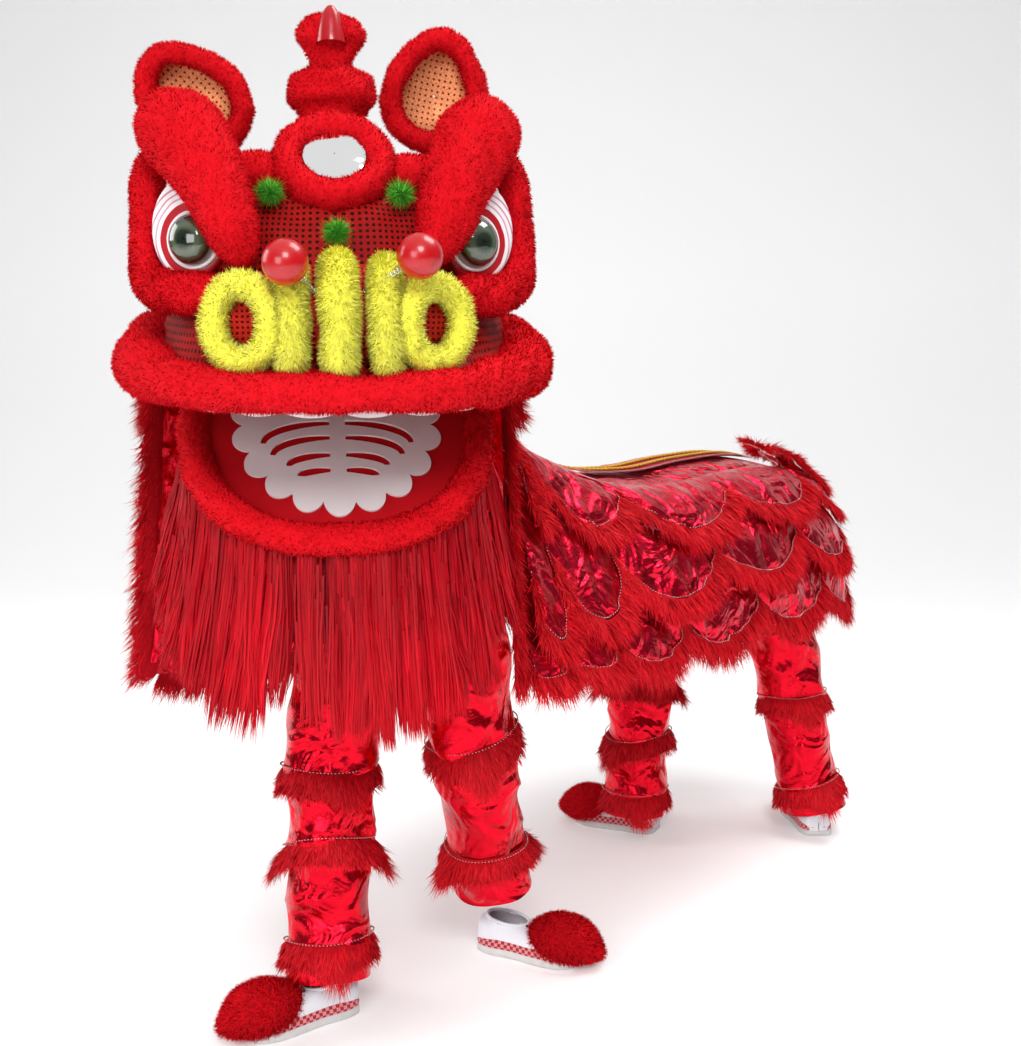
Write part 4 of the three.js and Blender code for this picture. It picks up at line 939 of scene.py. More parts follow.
SPRING = Hard("spring_wire", (0.80, 0.80, 0.82), 0.25, 0.8)
SILVER = Hard("mirror_face", (0.93, 0.93, 0.94), 0.04, 1.0, grain=14.0, uneven=0.03, relief=0.006)
PALE_FLOOR = Hard("pale_floor", (0.90, 0.90, 0.90), 0.75, uneven=0.01, relief=0.0, glow=0.22)
WOOD = Hard("bar_wood_finish", (0.52, 0.33, 0.15), 0.5, grain=35.0, uneven=0.25)
EYE_WHITE, EYE_STRIPE = (0.82, 0.78, 0.80), (0.55, 0.22, 0.30)
EYE_BOARD = Rings(
    "eye_board",
    (
        (0.0, (0.80, 0.78, 0.80)), (0.50, (0.42, 0.004, 0.012)), (0.63, EYE_WHITE),
        (0.70, (0.60, 0.30, 0.38)), (0.73, EYE_WHITE), (0.79, EYE_STRIPE), (0.82, EYE_WHITE),
        (0.89, EYE_STRIPE), (0.92, EYE_WHITE),
    ),
    1.0,
)
EYE_GLASS = Rings(
    "eye_dome",
    (
        (0.0, (0.004, 0.006, 0.004)), (0.30, (0.012, 0.020, 0.010)), (0.55, (0.075, 0.105, 0.060)),
        (0.78, (0.030, 0.050, 0.028)), (0.90, (0.006, 0.010, 0.006)), (1.0, (0.35, 0.37, 0.36)),
    ),
    1.0,
    0.08,
    1.0,
    True,
)


# Pieces


class Wardrobe:
    """Builds the pieces and keeps count of them."""

    def __init__(self) -> None:
        """Starts with no pieces."""
        self.triangles: dict[str, int] = {}

    def piece(
        self,
        name: str,
        shape: Skin | Tuft,
        finish: object,
        body: Body = Body.COSTUME,
        slot: Slot | None = None,
        stands_for: Sequence[str] = (),
        on: bpy.types.Object | None = None,
    ) -> bpy.types.Object:
        """Builds one piece from its shape and puts it on its body.

        Args:
            name: The piece's name.
            shape: Its surface or hair, in millimetres.
            finish: What gives its material.
            body: The body that it rides on.
            slot: The record's slot that its finish stands for; it is not used.
            stands_for: The frame's nodes that it replaces.
            on: The piece that it is fastened to, if it goes with one.

        Returns:
            The object.
        """
        mesh = bpy.data.meshes.new(name)
        mesh.from_pydata((shape.points * MM).tolist(), [], shape.faces.tolist())
        if isinstance(shape, Tuft):
            for key in ("tip", "tone"):
                mesh.attributes.new(key, "FLOAT", "POINT").data.foreach_set("value", getattr(shape, key))
            mesh.shade_smooth()
            mesh.normals_split_custom_set_from_vertices(shape.facing.tolist())
        else:
            mesh.shade_smooth()
            for key in ("tip", "tone"):
                mesh.attributes.new(key, "FLOAT", "POINT").data.foreach_set(
                    "value", np.full(len(shape.points), 0.5)
                )
            if shape.uv is not None:
                layer = mesh.uv_layers.new(name="cloth")
                layer.data.foreach_set("uv", shape.uv[shape.faces.ravel()].ravel())
        mesh.materials.append(finish.material())
        made = put(name, mesh)
        if on is None:
            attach(made, body.value)
        else:
            made.parent = on
            made.matrix_parent_inverse = on.matrix_world.inverted()
        if stands_for:
            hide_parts(*stands_for)
        self.triangles[name] = len(shape.faces) * (2 if shape.faces.shape[1] == 4 else 1)
        return made

    def report(self) -> None:
        """Logs each piece and how many triangles there are."""
        for name, count in self.triangles.items():
            log.info("%s: %d triangles", name, count)
        total = sum(self.triangles.values())
        largest = max(self.triangles, key=self.triangles.get)
        log.info("%d pieces, %d triangles, most in %s", len(self.triangles), total, largest)


def put(name: str, data: bpy.types.ID) -> bpy.types.Object:
    """Makes an object of a mesh, a lamp or a camera and puts it in the scene.

    Args:
        name: Its name.
        data: Its mesh, lamp or camera.

    Returns:
        The object.
    """
    made = bpy.data.objects.new(name, data)
    bpy.context.scene.collection.objects.link(made)
    return made


def tube(
    points: Array, radius: float, shares: Sequence[float], rows: int, sides: int, blunt: bool = False
) -> tuple[Array, Array]:
    """Sweeps a round section along a smooth line, with rounded ends unless it is blunt.

    Args:
        points: The line's points.
        radius: The section's radius.
        shares: The radius's shares, evenly spaced along the line.
        rows: How many sections.
        sides: How many points a section.
        blunt: Whether the ends stay open.

    Returns:
        The grid, rows by sides by 3, and each point's direction along the line.
    """
    path = Path(points)
    if blunt:
        stops = np.linspace(0, 1, rows)
        ends = np.ones(rows)
    else:
        even = np.linspace(0, 1, rows)
        stops = (1 - np.cos(np.pi * even)) / 2 * 0.35 + even * 0.65
        cap = radius / path.length
        near = np.clip(np.minimum(stops, 1 - stops) / cap, 0, 1)
        ends = np.sqrt(np.maximum(1 - (1 - near) ** 2, 0))
    centre, heading, across, other = path.frames(stops)
    size = (radius * along(shares, stops) * ends)[:, None, None]
    turn = rounds(sides)[None, :, None]
    ring = across[:, None] * np.cos(turn) + other[:, None] * np.sin(turn)
    grid = centre[:, None] + ring * size
    return grid, np.broadcast_to(heading[:, None], grid.shape)


def cord_grid(points: Array, radius: float, sides: int, aside: Sequence[float]) -> Array:
    """Makes the grid of a round section at each of a line's points, squared to a vector beside it.

    Args:
        points: The line's points.
        radius: The section's radius.
        sides: How many points go round.
        aside: A vector beside the line, which squares the sections.

    Returns:
        The grid, a row for each point.
    """
    heading = unit(np.gradient(points, axis=0))
    across = unit(np.cross(heading, np.array(aside)))
    other = np.cross(heading, across)
    turn = rounds(sides)[None, :, None]
    return points[:, None] + radius * (across[:, None] * np.cos(turn) + other[:, None] * np.sin(turn))


def cord(points: Array, radius: float, sides: int = 5) -> Skin:
    """Makes a thin round cord through points, one section a point."""
    return Skin.of_grid(cord_grid(points, radius, sides, (0.21, 0.35, 0.91)), wraps=True)


def beads(centres: Array, radius: float) -> Skin:
    """Makes a small faceted bead at each place.

    Args:
        centres: The places.
        radius: A bead's radius.

    Returns:
        The surface of all of them.
    """
    corners = np.array([(1, 0, 0), (-1, 0, 0), (0, 1, 0), (0, -1, 0), (0, 0, 1), (0, 0, -1)], float)
    pattern = np.array(
        [(0, 2, 4), (2, 1, 4), (1, 3, 4), (3, 0, 4), (2, 0, 5), (1, 2, 5), (3, 1, 5), (0, 3, 5)], int
    )
    points = centres[:, None] + corners[None] * radius
    faces = np.arange(len(centres))[:, None, None] * len(corners) + pattern[None]
    return Skin(points.reshape(-1, 3), faces.reshape(-1, 3))


def spaced(points: Array, gap: float) -> Array:
    """Gives evenly spaced points along a line of points.

    Args:
        points: The line.
        gap: How far apart they should be.

    Returns:
        The new points.
    """
    reached = travelled(points)
    wanted = np.arange(0, reached[-1], gap)
    return np.stack([np.interp(wanted, reached, points[:, k]) for k in range(3)], axis=1)


def ellipsoid(radii: Sequence[float], rows: int, sides: int) -> Array:
    """Makes an ellipsoid's grid round the origin.

    Args:
        radii: Its three radii.
        rows: How many rows from top to bottom.
        sides: How many columns round.

    Returns:
        The grid.
    """
    down = np.linspace(0.02, np.pi - 0.02, rows)[:, None]
    turn = rounds(sides)[None]
    grid = np.stack(
        [np.sin(down) * np.cos(turn), np.sin(down) * np.sin(turn), np.cos(down) + 0 * turn], axis=-1
    )
    return grid[:, ::-1] * np.array(radii)


@dataclass
class PlushRoll:
    """A stuffed roll of plush: a puckered tube with short dense hair."""

    name: str
    points: Array
    radius: float
    shares: Sequence[float]
    hairs: int
    rows: int = 70
    sides: int = 24
    hair: Hair = PLUSH_HAIR
    back: Nap = PLUSH_BACK
    length: float = PLUSH_NAP
    lay: float = 0.3
    pucker: float = 0.08

    def surface(self, place: Array) -> Skin:
        """Makes the stuffed cloth's surface.

        Args:
            place: The matrix from the roll's own frame to the costume's.

        Returns:
            The surface.
        """
        grid, heading = tube(
            self.points, self.radius - 0.35 * self.length, self.shares, self.rows, self.sides
        )
        middle = np.repeat(grid.mean(axis=1), self.sides, axis=0)
        skin = Skin.of_grid(grid, wraps=True, flow=heading).outward(middle).moved(place)
        dents = waves(skin.points, 2.6 * self.radius, len(self.name)) + 0.35 * waves(skin.points, 40.0, 3)
        return skin.lifted(self.pucker * self.radius * dents)

    def dress(self, wardrobe: Wardrobe, place: Array, body: Body, slot: Slot, nodes: Sequence[str]) -> None:
        """Builds the roll and its hair.

        Args:
            wardrobe: Where pieces are built.
            place: The matrix to the costume's frame.
            body: What it rides on.
            slot: Its material slot.
            nodes: The nodes that it replaces.
        """
        skin = self.surface(place)
        roll = wardrobe.piece(self.name, skin, self.back, body, slot, nodes)
        pile = Pile(self.hairs, self.length, 1.9, lay=self.lay, stray=0.3)
        wardrobe.piece(f"{self.name}_pile", pile.grown(skin, len(self.name)), self.hair, body, slot, on=roll)


# The head

HEAD_HALF, HEAD_REACH, HEAD_RISE = 300.0, 380.0, 250.0
HEAD = turning(2, 46.0)
SIDES = (("left", -1), ("right", 1))


def at_head(across: float, ahead: float, up: float) -> Array:
    """Gives a point of the head in shares of its half width, reach and rise."""
    return np.array([across * HEAD_HALF, ahead * HEAD_REACH, up * HEAD_RISE])


def head_points(rows: Sequence[tuple[float, ...]], side: int = 1) -> Array:
    """Gives the points of a table whose rows start with across, ahead and up."""
    return np.array([at_head(side * row[0], row[1], row[2]) for row in rows])


def both_sides(rows: Sequence[tuple[float, ...]]) -> list[tuple[float, ...]]:
    """Goes on from a table of one side, whose last row is in the middle, to the other side."""
    return [*rows, *((-row[0], *row[1:]) for row in rows[-2::-1])]


@dataclass
class Shell:
    """The head's shell, covered in dotted cloth.

    sections are up, rise of the back over the front, half width, front and back, in the head's shares.
    """

    sections: Sequence[tuple[float, float, float, float, float]] = (
        (-0.36, 0.32, 1.0, 0.98, 0.66), (-0.22, 0.24, 0.95, 0.79, 0.7), (-0.06, 0.12, 0.91, 0.67, 0.74),
        (0.26, 0.0, 0.89, 0.61, 0.75), (0.54, 0.0, 0.83, 0.54, 0.71), (0.77, 0.0, 0.68, 0.4, 0.6),
        (0.93, 0.0, 0.44, 0.23, 0.42), (0.99, 0.0, 0.14, 0.06, 0.18),
    )
    squareness: float = 2 / 2.4
    wall: float = 4.0

    def point(self, turn: Array, section: Array, inset: float) -> Array:
        """Gives points of the shell.

        Args:
            turn: The angle round it.
            section: The section's five values, one column each.
            inset: How far inside.

        Returns:
            The points.
        """
        up, rise, half, front, back = section
        x, y = (np.sign(part) * np.abs(part) ** self.squareness for part in (np.cos(turn), np.sin(turn)))
        reach = np.where(y < 0, front, back) * HEAD_REACH - inset
        tilt = rise * HEAD_RISE * y * reach / ((front + back) * HEAD_REACH)
        return np.stack([(half * HEAD_HALF - inset) * x, y * reach, up * HEAD_RISE + tilt], axis=-1)

    def grid(self, inset: float, rows: int = 60, sides: int = 96) -> tuple[Array, Array]:
        """Makes the shell's grid and its cloth coordinates.

        Args:
            inset: How far inside the shell, in millimetres.
            rows: How many rows.
            sides: How many columns go round.

        Returns:
            The grid and its cloth coordinates.
        """
        smooth = Path([(row[0], row[1], row[2]) for row in self.sections]).at(np.linspace(0, 1, rows))
        rest = Path([(row[0], row[3], row[4]) for row in self.sections]).at(np.linspace(0, 1, rows))
        section = [part[:, None] for part in (*smooth.T, rest[:, 1], rest[:, 2])]
        turn = rounds(sides)[None]
        grid = self.point(turn, section, inset)
        down = travelled(grid[:, 0])
        round_it = np.broadcast_to(np.linspace(0, 1, sides) * 1750.0, grid.shape[:2])
        uv = np.stack([round_it, np.broadcast_to(down[:, None], grid.shape[:2])], axis=-1) * MM
        return grid, uv

    def dress(self, wardrobe: Wardrobe) -> None:
        """Builds the covered shell and its lining.

        Args:
            wardrobe: Where pieces are built.
        """
        grid, uv = self.grid(0.0)
        skin = Skin.of_grid(grid, wraps=True, uv=uv).moved(HEAD)
        ripple = 2.2 * waves(skin.points, 70.0, 5)
        wardrobe.piece(
            "head_cloth", skin.lifted(ripple), HEAD_CLOTH, slot=Slot.SEQUIN, stands_for=["head_shell"]
        )
        inner, inner_uv = self.grid(self.wall)
        lining = Skin.of_grid(inner[:, ::-1], wraps=True, uv=inner_uv).moved(HEAD)
        wardrobe.piece("head_lining", lining, JAW_FELT, slot=Slot.SEQUIN)
        crown = Skin.of_grid(grid, wraps=True).moved(HEAD)
        height = crown.points[:, 2] / HEAD_RISE
        local = crown.points @ HEAD[:3, :3]
        front = np.clip((-local[:, 1] / HEAD_REACH - 0.1) * 6, 0, 1)
        beside = np.clip((np.abs(local[:, 0]) / HEAD_HALF - 0.2) * 6, 0, 1)
        crown.growth = np.clip((height - 0.66) * 7, 0, 1) * front * beside
        hair = Pile(7000, PLUSH_NAP, 1.8, lift=1.0, fall=0.4, stray=0.45).grown(crown, 8)
        wardrobe.piece("crown_pile", hair, PLUSH_HAIR, slot=Slot.PLUSH)


LIP = (
    (0.86, 0.34, -0.2, 0.8), (0.98, 0.16, -0.25, 1.1), (1.01, -0.08, -0.36, 1.18),
    (0.97, -0.44, -0.46, 0.92), (0.73, -0.76, -0.54, 0.74), (0.38, -0.96, -0.57, 0.66),
    (0.0, -1.01, -0.575, 0.65),
)
CHEEK = (
    (0.95, -0.24, 0.93, 0.7), (0.97, -0.28, 0.7, 0.76), (0.99, -0.3, 0.37, 0.84), (0.95, -0.37, 0.1, 1.0),
    (0.79, -0.51, 0.01, 1.0), (0.57, -0.62, 0.02, 0.9),
)
BROW = (
    (0.46, -0.69, 0.16, 0.5), (0.54, -0.65, 0.44, 0.76), (0.64, -0.56, 0.74, 1.0),
    (0.76, -0.43, 0.99, 1.08), (0.88, -0.28, 1.06, 0.95),
)


@dataclass
class Face:
    """The rolls of plush round the mouth and the eyes, the teeth, the eyes and the forehead's mirror."""

    lip_radius: float = 46.0
    cheek_radius: float = 33.0
    brow_radius: float = 60.0
    eye_radius: float = 40.0
    eye_turn: float = 24.0
    mirror_radius: float = 46.0
    mirror_roll: float = 26.0
    mirror_tilt: float = 38.0
    mirror_stand: float = 20.0
    teeth: int = 8

    def rolls(self, wardrobe: Wardrobe) -> None:
        """Builds the lip, the cheeks and the brows.

        Args:
            wardrobe: Where pieces are built.
        """
        rows = both_sides(LIP)
        lip = PlushRoll("lip", head_points(rows), self.lip_radius, [row[3] for row in rows], 34000, 110, 22)
        lip.dress(wardrobe, HEAD, Body.COSTUME, Slot.PLUSH, ["lip_roll"])
        for name, side in SIDES:
            for kind, table, radius, hairs in (
                ("cheek", CHEEK, self.cheek_radius, 12000),
                ("brow", BROW, self.brow_radius, 14000),
            ):
                shares = [row[3] for row in table]
                roll = PlushRoll(f"{kind}_{name}_plush", head_points(table, side), radius, shares, hairs)
                roll.dress(wardrobe, HEAD, Body.COSTUME, Slot.PLUSH, [f"{kind}_{name}"])

    def jaws_teeth(self, wardrobe: Wardrobe) -> None:
        """Builds the scalloped strip of teeth under the lip.

        Args:
            wardrobe: Where pieces are built.
        """
        share = np.linspace(0, 1, self.teeth * 12 + 1)
        line = Path(head_points(both_sides(LIP))).at_length(0.5 + 0.52 * (share - 0.5))
        line = line * np.array([0.94, 0.94, 1.0])
        scallop = np.abs(np.sin(np.pi * self.teeth * share)) ** 0.55
        rows = []
        for down in np.linspace(0, 1, 6):
            row = line.copy()
            row[:, 2] -= 3 + down * (23 + 11 * scallop)
            rows.append(row)
        grid = np.stack(rows)
        front = Skin.of_grid(grid)
        back = Skin.of_grid((grid * np.array([0.992, 0.992, 1.0]))[:, ::-1])
        wardrobe.piece(
            "teeth", front.joined(back).moved(HEAD), BOARD, slot=Slot.WHITE, stands_for=["upper_teeth"]
        )

    def eye_place(self, side: int) -> Array:
        """Gives the matrix of an eye's own frame, which looks along -y."""
        return HEAD @ shifting(at_head(side * 0.715, -0.5, 0.34)) @ turning(2, side * self.eye_turn)

    def eyes(self, wardrobe: Wardrobe) -> None:
        """Builds each eye's striped board, its glass dome and the rim between them.

        Args:
            wardrobe: Where pieces are built.
        """
        turn = rounds(72)[None]
        for name, side in SIDES:
            place = self.eye_place(side)
            share = np.concatenate([np.linspace(0.05, 1, 12), [1.0, 1.0]])[:, None]
            back = np.concatenate([np.zeros(12), [8.0, 55.0]])[:, None]
            x = side * 10 + 63 * share * np.cos(turn)
            z = 17 + 79 * share * np.sin(turn)
            y = back - 5 * (1 - share**2) + 0 * turn
            grid = np.stack([x, y, z], axis=-1)
            uv = np.stack([x, z], axis=-1) / 95.0
            board = Skin.of_grid(grid[:, ::-1], wraps=True, uv=uv[:, ::-1]).moved(place)
            wardrobe.piece(
                f"eye_board_{name}", board, EYE_BOARD, slot=Slot.WHITE, stands_for=[f"eye_panel_{name}"]
            )
            reach = self.eye_radius * np.sin(np.linspace(0.02, np.pi / 2, 20))[:, None]
            out = -0.78 * self.eye_radius * np.cos(np.linspace(0.02, np.pi / 2, 20))[:, None] - 4
            dome = np.stack([reach * np.cos(turn), out + 0 * turn, reach * np.sin(turn)], axis=-1)
            uv = dome[..., [0, 2]] / self.eye_radius
            glass = Skin.of_grid(dome[:, ::-1], wraps=True, uv=uv[:, ::-1]).moved(place)
            wardrobe.piece(
                f"eye_dome_{name}", glass, EYE_GLASS, slot=Slot.GLASS, stands_for=[f"eyeball_{name}"]
            )
            ring = np.stack([42 * np.cos(turn[0]), np.full(72, -5.0), 42 * np.sin(turn[0])], axis=-1)
            rim = cord(np.vstack([ring, ring[:2]]), 3.2, 8).moved(place)
            wardrobe.piece(f"eye_rim_{name}", rim, BOARD, slot=Slot.WHITE)

    def forehead(self, wardrobe: Wardrobe) -> None:
        """Builds the mirror, its ring of plush and the lobe each side of it.

        Args:
            wardrobe: Where pieces are built.
        """
        place = HEAD @ shifting(at_head(0, -0.365, 0.79)) @ turning(0, 90 - self.mirror_tilt)
        place = place @ shifting((0, 0, self.mirror_stand))
        middle = self.mirror_radius + self.mirror_roll
        turn = rounds(72)[:, None]
        round_it = rounds(24)[None]
        reach = middle + (self.mirror_roll - 3) * np.cos(round_it)
        up = (self.mirror_roll - 3) * 1.25 * np.sin(round_it)
        grid = np.stack([reach * np.cos(turn), reach * np.sin(turn), up + 0 * turn], axis=-1)
        grid = np.vstack([grid, grid[:1]])
        skin = Skin.of_grid(grid, wraps=True).outward(np.repeat(grid.mean(axis=1), 24, axis=0)).moved(place)
        for side in (-1, 1):
            lobe = ellipsoid((44, 36, 32), 20, 32)
            spot = HEAD @ shifting(at_head(side * 0.40, -0.36, 0.78)) @ turning(2, side * 25)
            skin = skin.joined(Skin.of_grid(lobe, wraps=True).outward(np.zeros(3)).moved(spot))
        skin = skin.lifted(1.6 * waves(skin.points, 50.0, 4))
        ring = wardrobe.piece("forehead_plush", skin, PLUSH_BACK, slot=Slot.PLUSH, stands_for=["mirror_ring"])
        pile = Pile(14000, PLUSH_NAP, 1.8, stray=0.45).grown(skin, 31)
        wardrobe.piece("forehead_pile", pile, PLUSH_HAIR, slot=Slot.PLUSH, on=ring)
        share = np.linspace(0.02, 1, 12)[:, None]
        disc = (self.mirror_radius + 3) * share
        bulge = 15 + 4.0 * (1 - share**2)
        face = np.stack([disc * np.cos(turn.T), disc * np.sin(turn.T), bulge + 0 * turn.T], axis=-1)
        glass = Skin.of_grid(face, wraps=True).moved(place)
        glass = glass.lifted(0.7 * waves(glass.points, 38.0, 12))
        wardrobe.piece("mirror_glass", glass, SILVER, slot=Slot.MIRROR, stands_for=["mirror"])

    def dress(self, wardrobe: Wardrobe) -> None:
        """Builds the whole face.

        Args:
            wardrobe: Where pieces are built.
        """
        self.rolls(wardrobe)
        self.jaws_teeth(wardrobe)
        self.eyes(wardrobe)
        self.forehead(wardrobe)


@dataclass
class Nose:
    """The nose: a dotted pad under rolls of yellow fur, and a ball on a spring each side."""

    half: float = 176.0
    depth: float = 92.0
    height: float = 84.0
    roll: float = 25.0
    ball: float = 33.0
    bar: Sequence[tuple[float, float]] = (
        (0.42, 0.94), (0.86, 0.7), (1.12, 0.12), (1.14, -0.45), (0.98, -0.95)
    )
    bars: Sequence[tuple[str, float, float, float]] = (
        ("centre", 0.0, 1.1, 1.12),
        ("left", -0.39, 1.04, 0.98),
        ("right", 0.39, 1.04, 0.98),
    )

    def centre(self) -> Array:
        """Gives the pad's middle."""
        return at_head(0, -0.69, -0.15)

    def pad(self, wardrobe: Wardrobe) -> None:
        """Builds the dotted pad.

        Args:
            wardrobe: Where pieces are built.
        """
        grid = ellipsoid((self.half, self.depth, self.height), 40, 64)
        uv = np.stack([grid[..., 0], grid[..., 2]], axis=-1) * MM
        skin = Skin.of_grid(grid, wraps=True, uv=uv).moved(HEAD @ shifting(self.centre()))
        skin = skin.lifted(1.5 * waves(skin.points, 45.0, 9))
        pad = wardrobe.piece("nose_cloth_pad", skin, NOSE_CLOTH, slot=Slot.SEQUIN, stands_for=["nose_pad"])

    def fur(self, wardrobe: Wardrobe) -> None:
        """Builds the bars of fur and the ring round each nostril.

        Args:
            wardrobe: Where pieces are built.
        """
        for name, across, size, thick in self.bars:
            scale = np.array([self.half, self.depth, self.height])
            points = np.array([(across, -out * size, up * size) for out, up in self.bar]) * scale
            roll = PlushRoll(
                f"nose_bar_{name}", points + self.centre(), self.roll * thick, [1, 1.05, 1.05, 1],
                7000, 36, 16, YELLOW_HAIR, YELLOW_BACK, 10.0, 0.6,
            )
            roll.dress(wardrobe, HEAD, Body.COSTUME, Slot.YELLOW, [f"nose_fur_{name}"])
        turn = np.linspace(0, 2 * np.pi, 49)
        for name, side in SIDES:
            out = 0.78 - 0.4 * np.cos(turn)
            line = np.stack(
                [
                    side * self.half * (0.8 + 0.24 * np.cos(turn)),
                    -out * self.depth,
                    self.height * 0.66 * np.sin(turn) - 6,
                ],
                axis=-1,
            )
            grid = cord_grid(line, self.roll * 0.74, 16, (0.21, 0.95, 0.21))
            skin = Skin.of_grid(grid, wraps=True, flow=np.gradient(grid, axis=0) * 0.05)
            skin = skin.outward(np.repeat(line, 16, axis=0))
            skin = skin.moved(HEAD @ shifting(self.centre()))
            skin = skin.lifted(1.2 * waves(skin.points, 40.0, 7))
            ring = wardrobe.piece(f"nostril_{name}", skin, YELLOW_BACK, slot=Slot.YELLOW)
            pile = Pile(6500, 9.0, 1.7, stray=0.5).grown(skin, 40 + side)
            wardrobe.piece(f"nostril_{name}_pile", pile, YELLOW_HAIR, slot=Slot.YELLOW, on=ring)

    def feelers(self, wardrobe: Wardrobe) -> None:
        """Builds the ball and the spring each side.

        Args:
            wardrobe: Where pieces are built.
        """
        for name, foot, end in (
            ("left", (-0.115, -0.885, 0.0), (-0.25, -1.07, 0.16)),
            ("right", (0.115, -0.885, 0.0), (0.38, -1.07, 0.2)),
        ):
            start, centre = at_head(*foot), at_head(*end)
            heading = unit(centre - start)
            across = unit(np.cross(heading, [0, 0, 1]))
            other = np.cross(heading, across)
            share = np.linspace(0, 1, 240)[:, None]
            turn = share * 2 * np.pi * 17
            coil = start + (centre - start) * share + 4.0 * (across * np.cos(turn) + other * np.sin(turn))
            wire = cord(coil, 0.9, 5).moved(HEAD)
            wardrobe.piece(f"feeler_spring_{name}", wire, SPRING, slot=Slot.GLOSS)
            grid = ellipsoid((self.ball, self.ball, self.ball), 28, 40)
            seam = 1 - 0.012 * np.exp(-(((grid[..., 2:] / self.ball) / 0.05) ** 2))
            bulb = Skin.of_grid(grid * seam, wraps=True).moved(HEAD @ shifting(centre) @ turning(0, 25))
            wardrobe.piece(f"feeler_ball_{name}", bulb, BALL, slot=Slot.GLOSS, stands_for=[f"feeler_{name}"])

    def dress(self, wardrobe: Wardrobe) -> None:
        """Builds the whole nose.

        Args:
            wardrobe: Where pieces are built.
        """
        self.pad(wardrobe)
        self.fur(wardrobe)
        self.feelers(wardrobe)


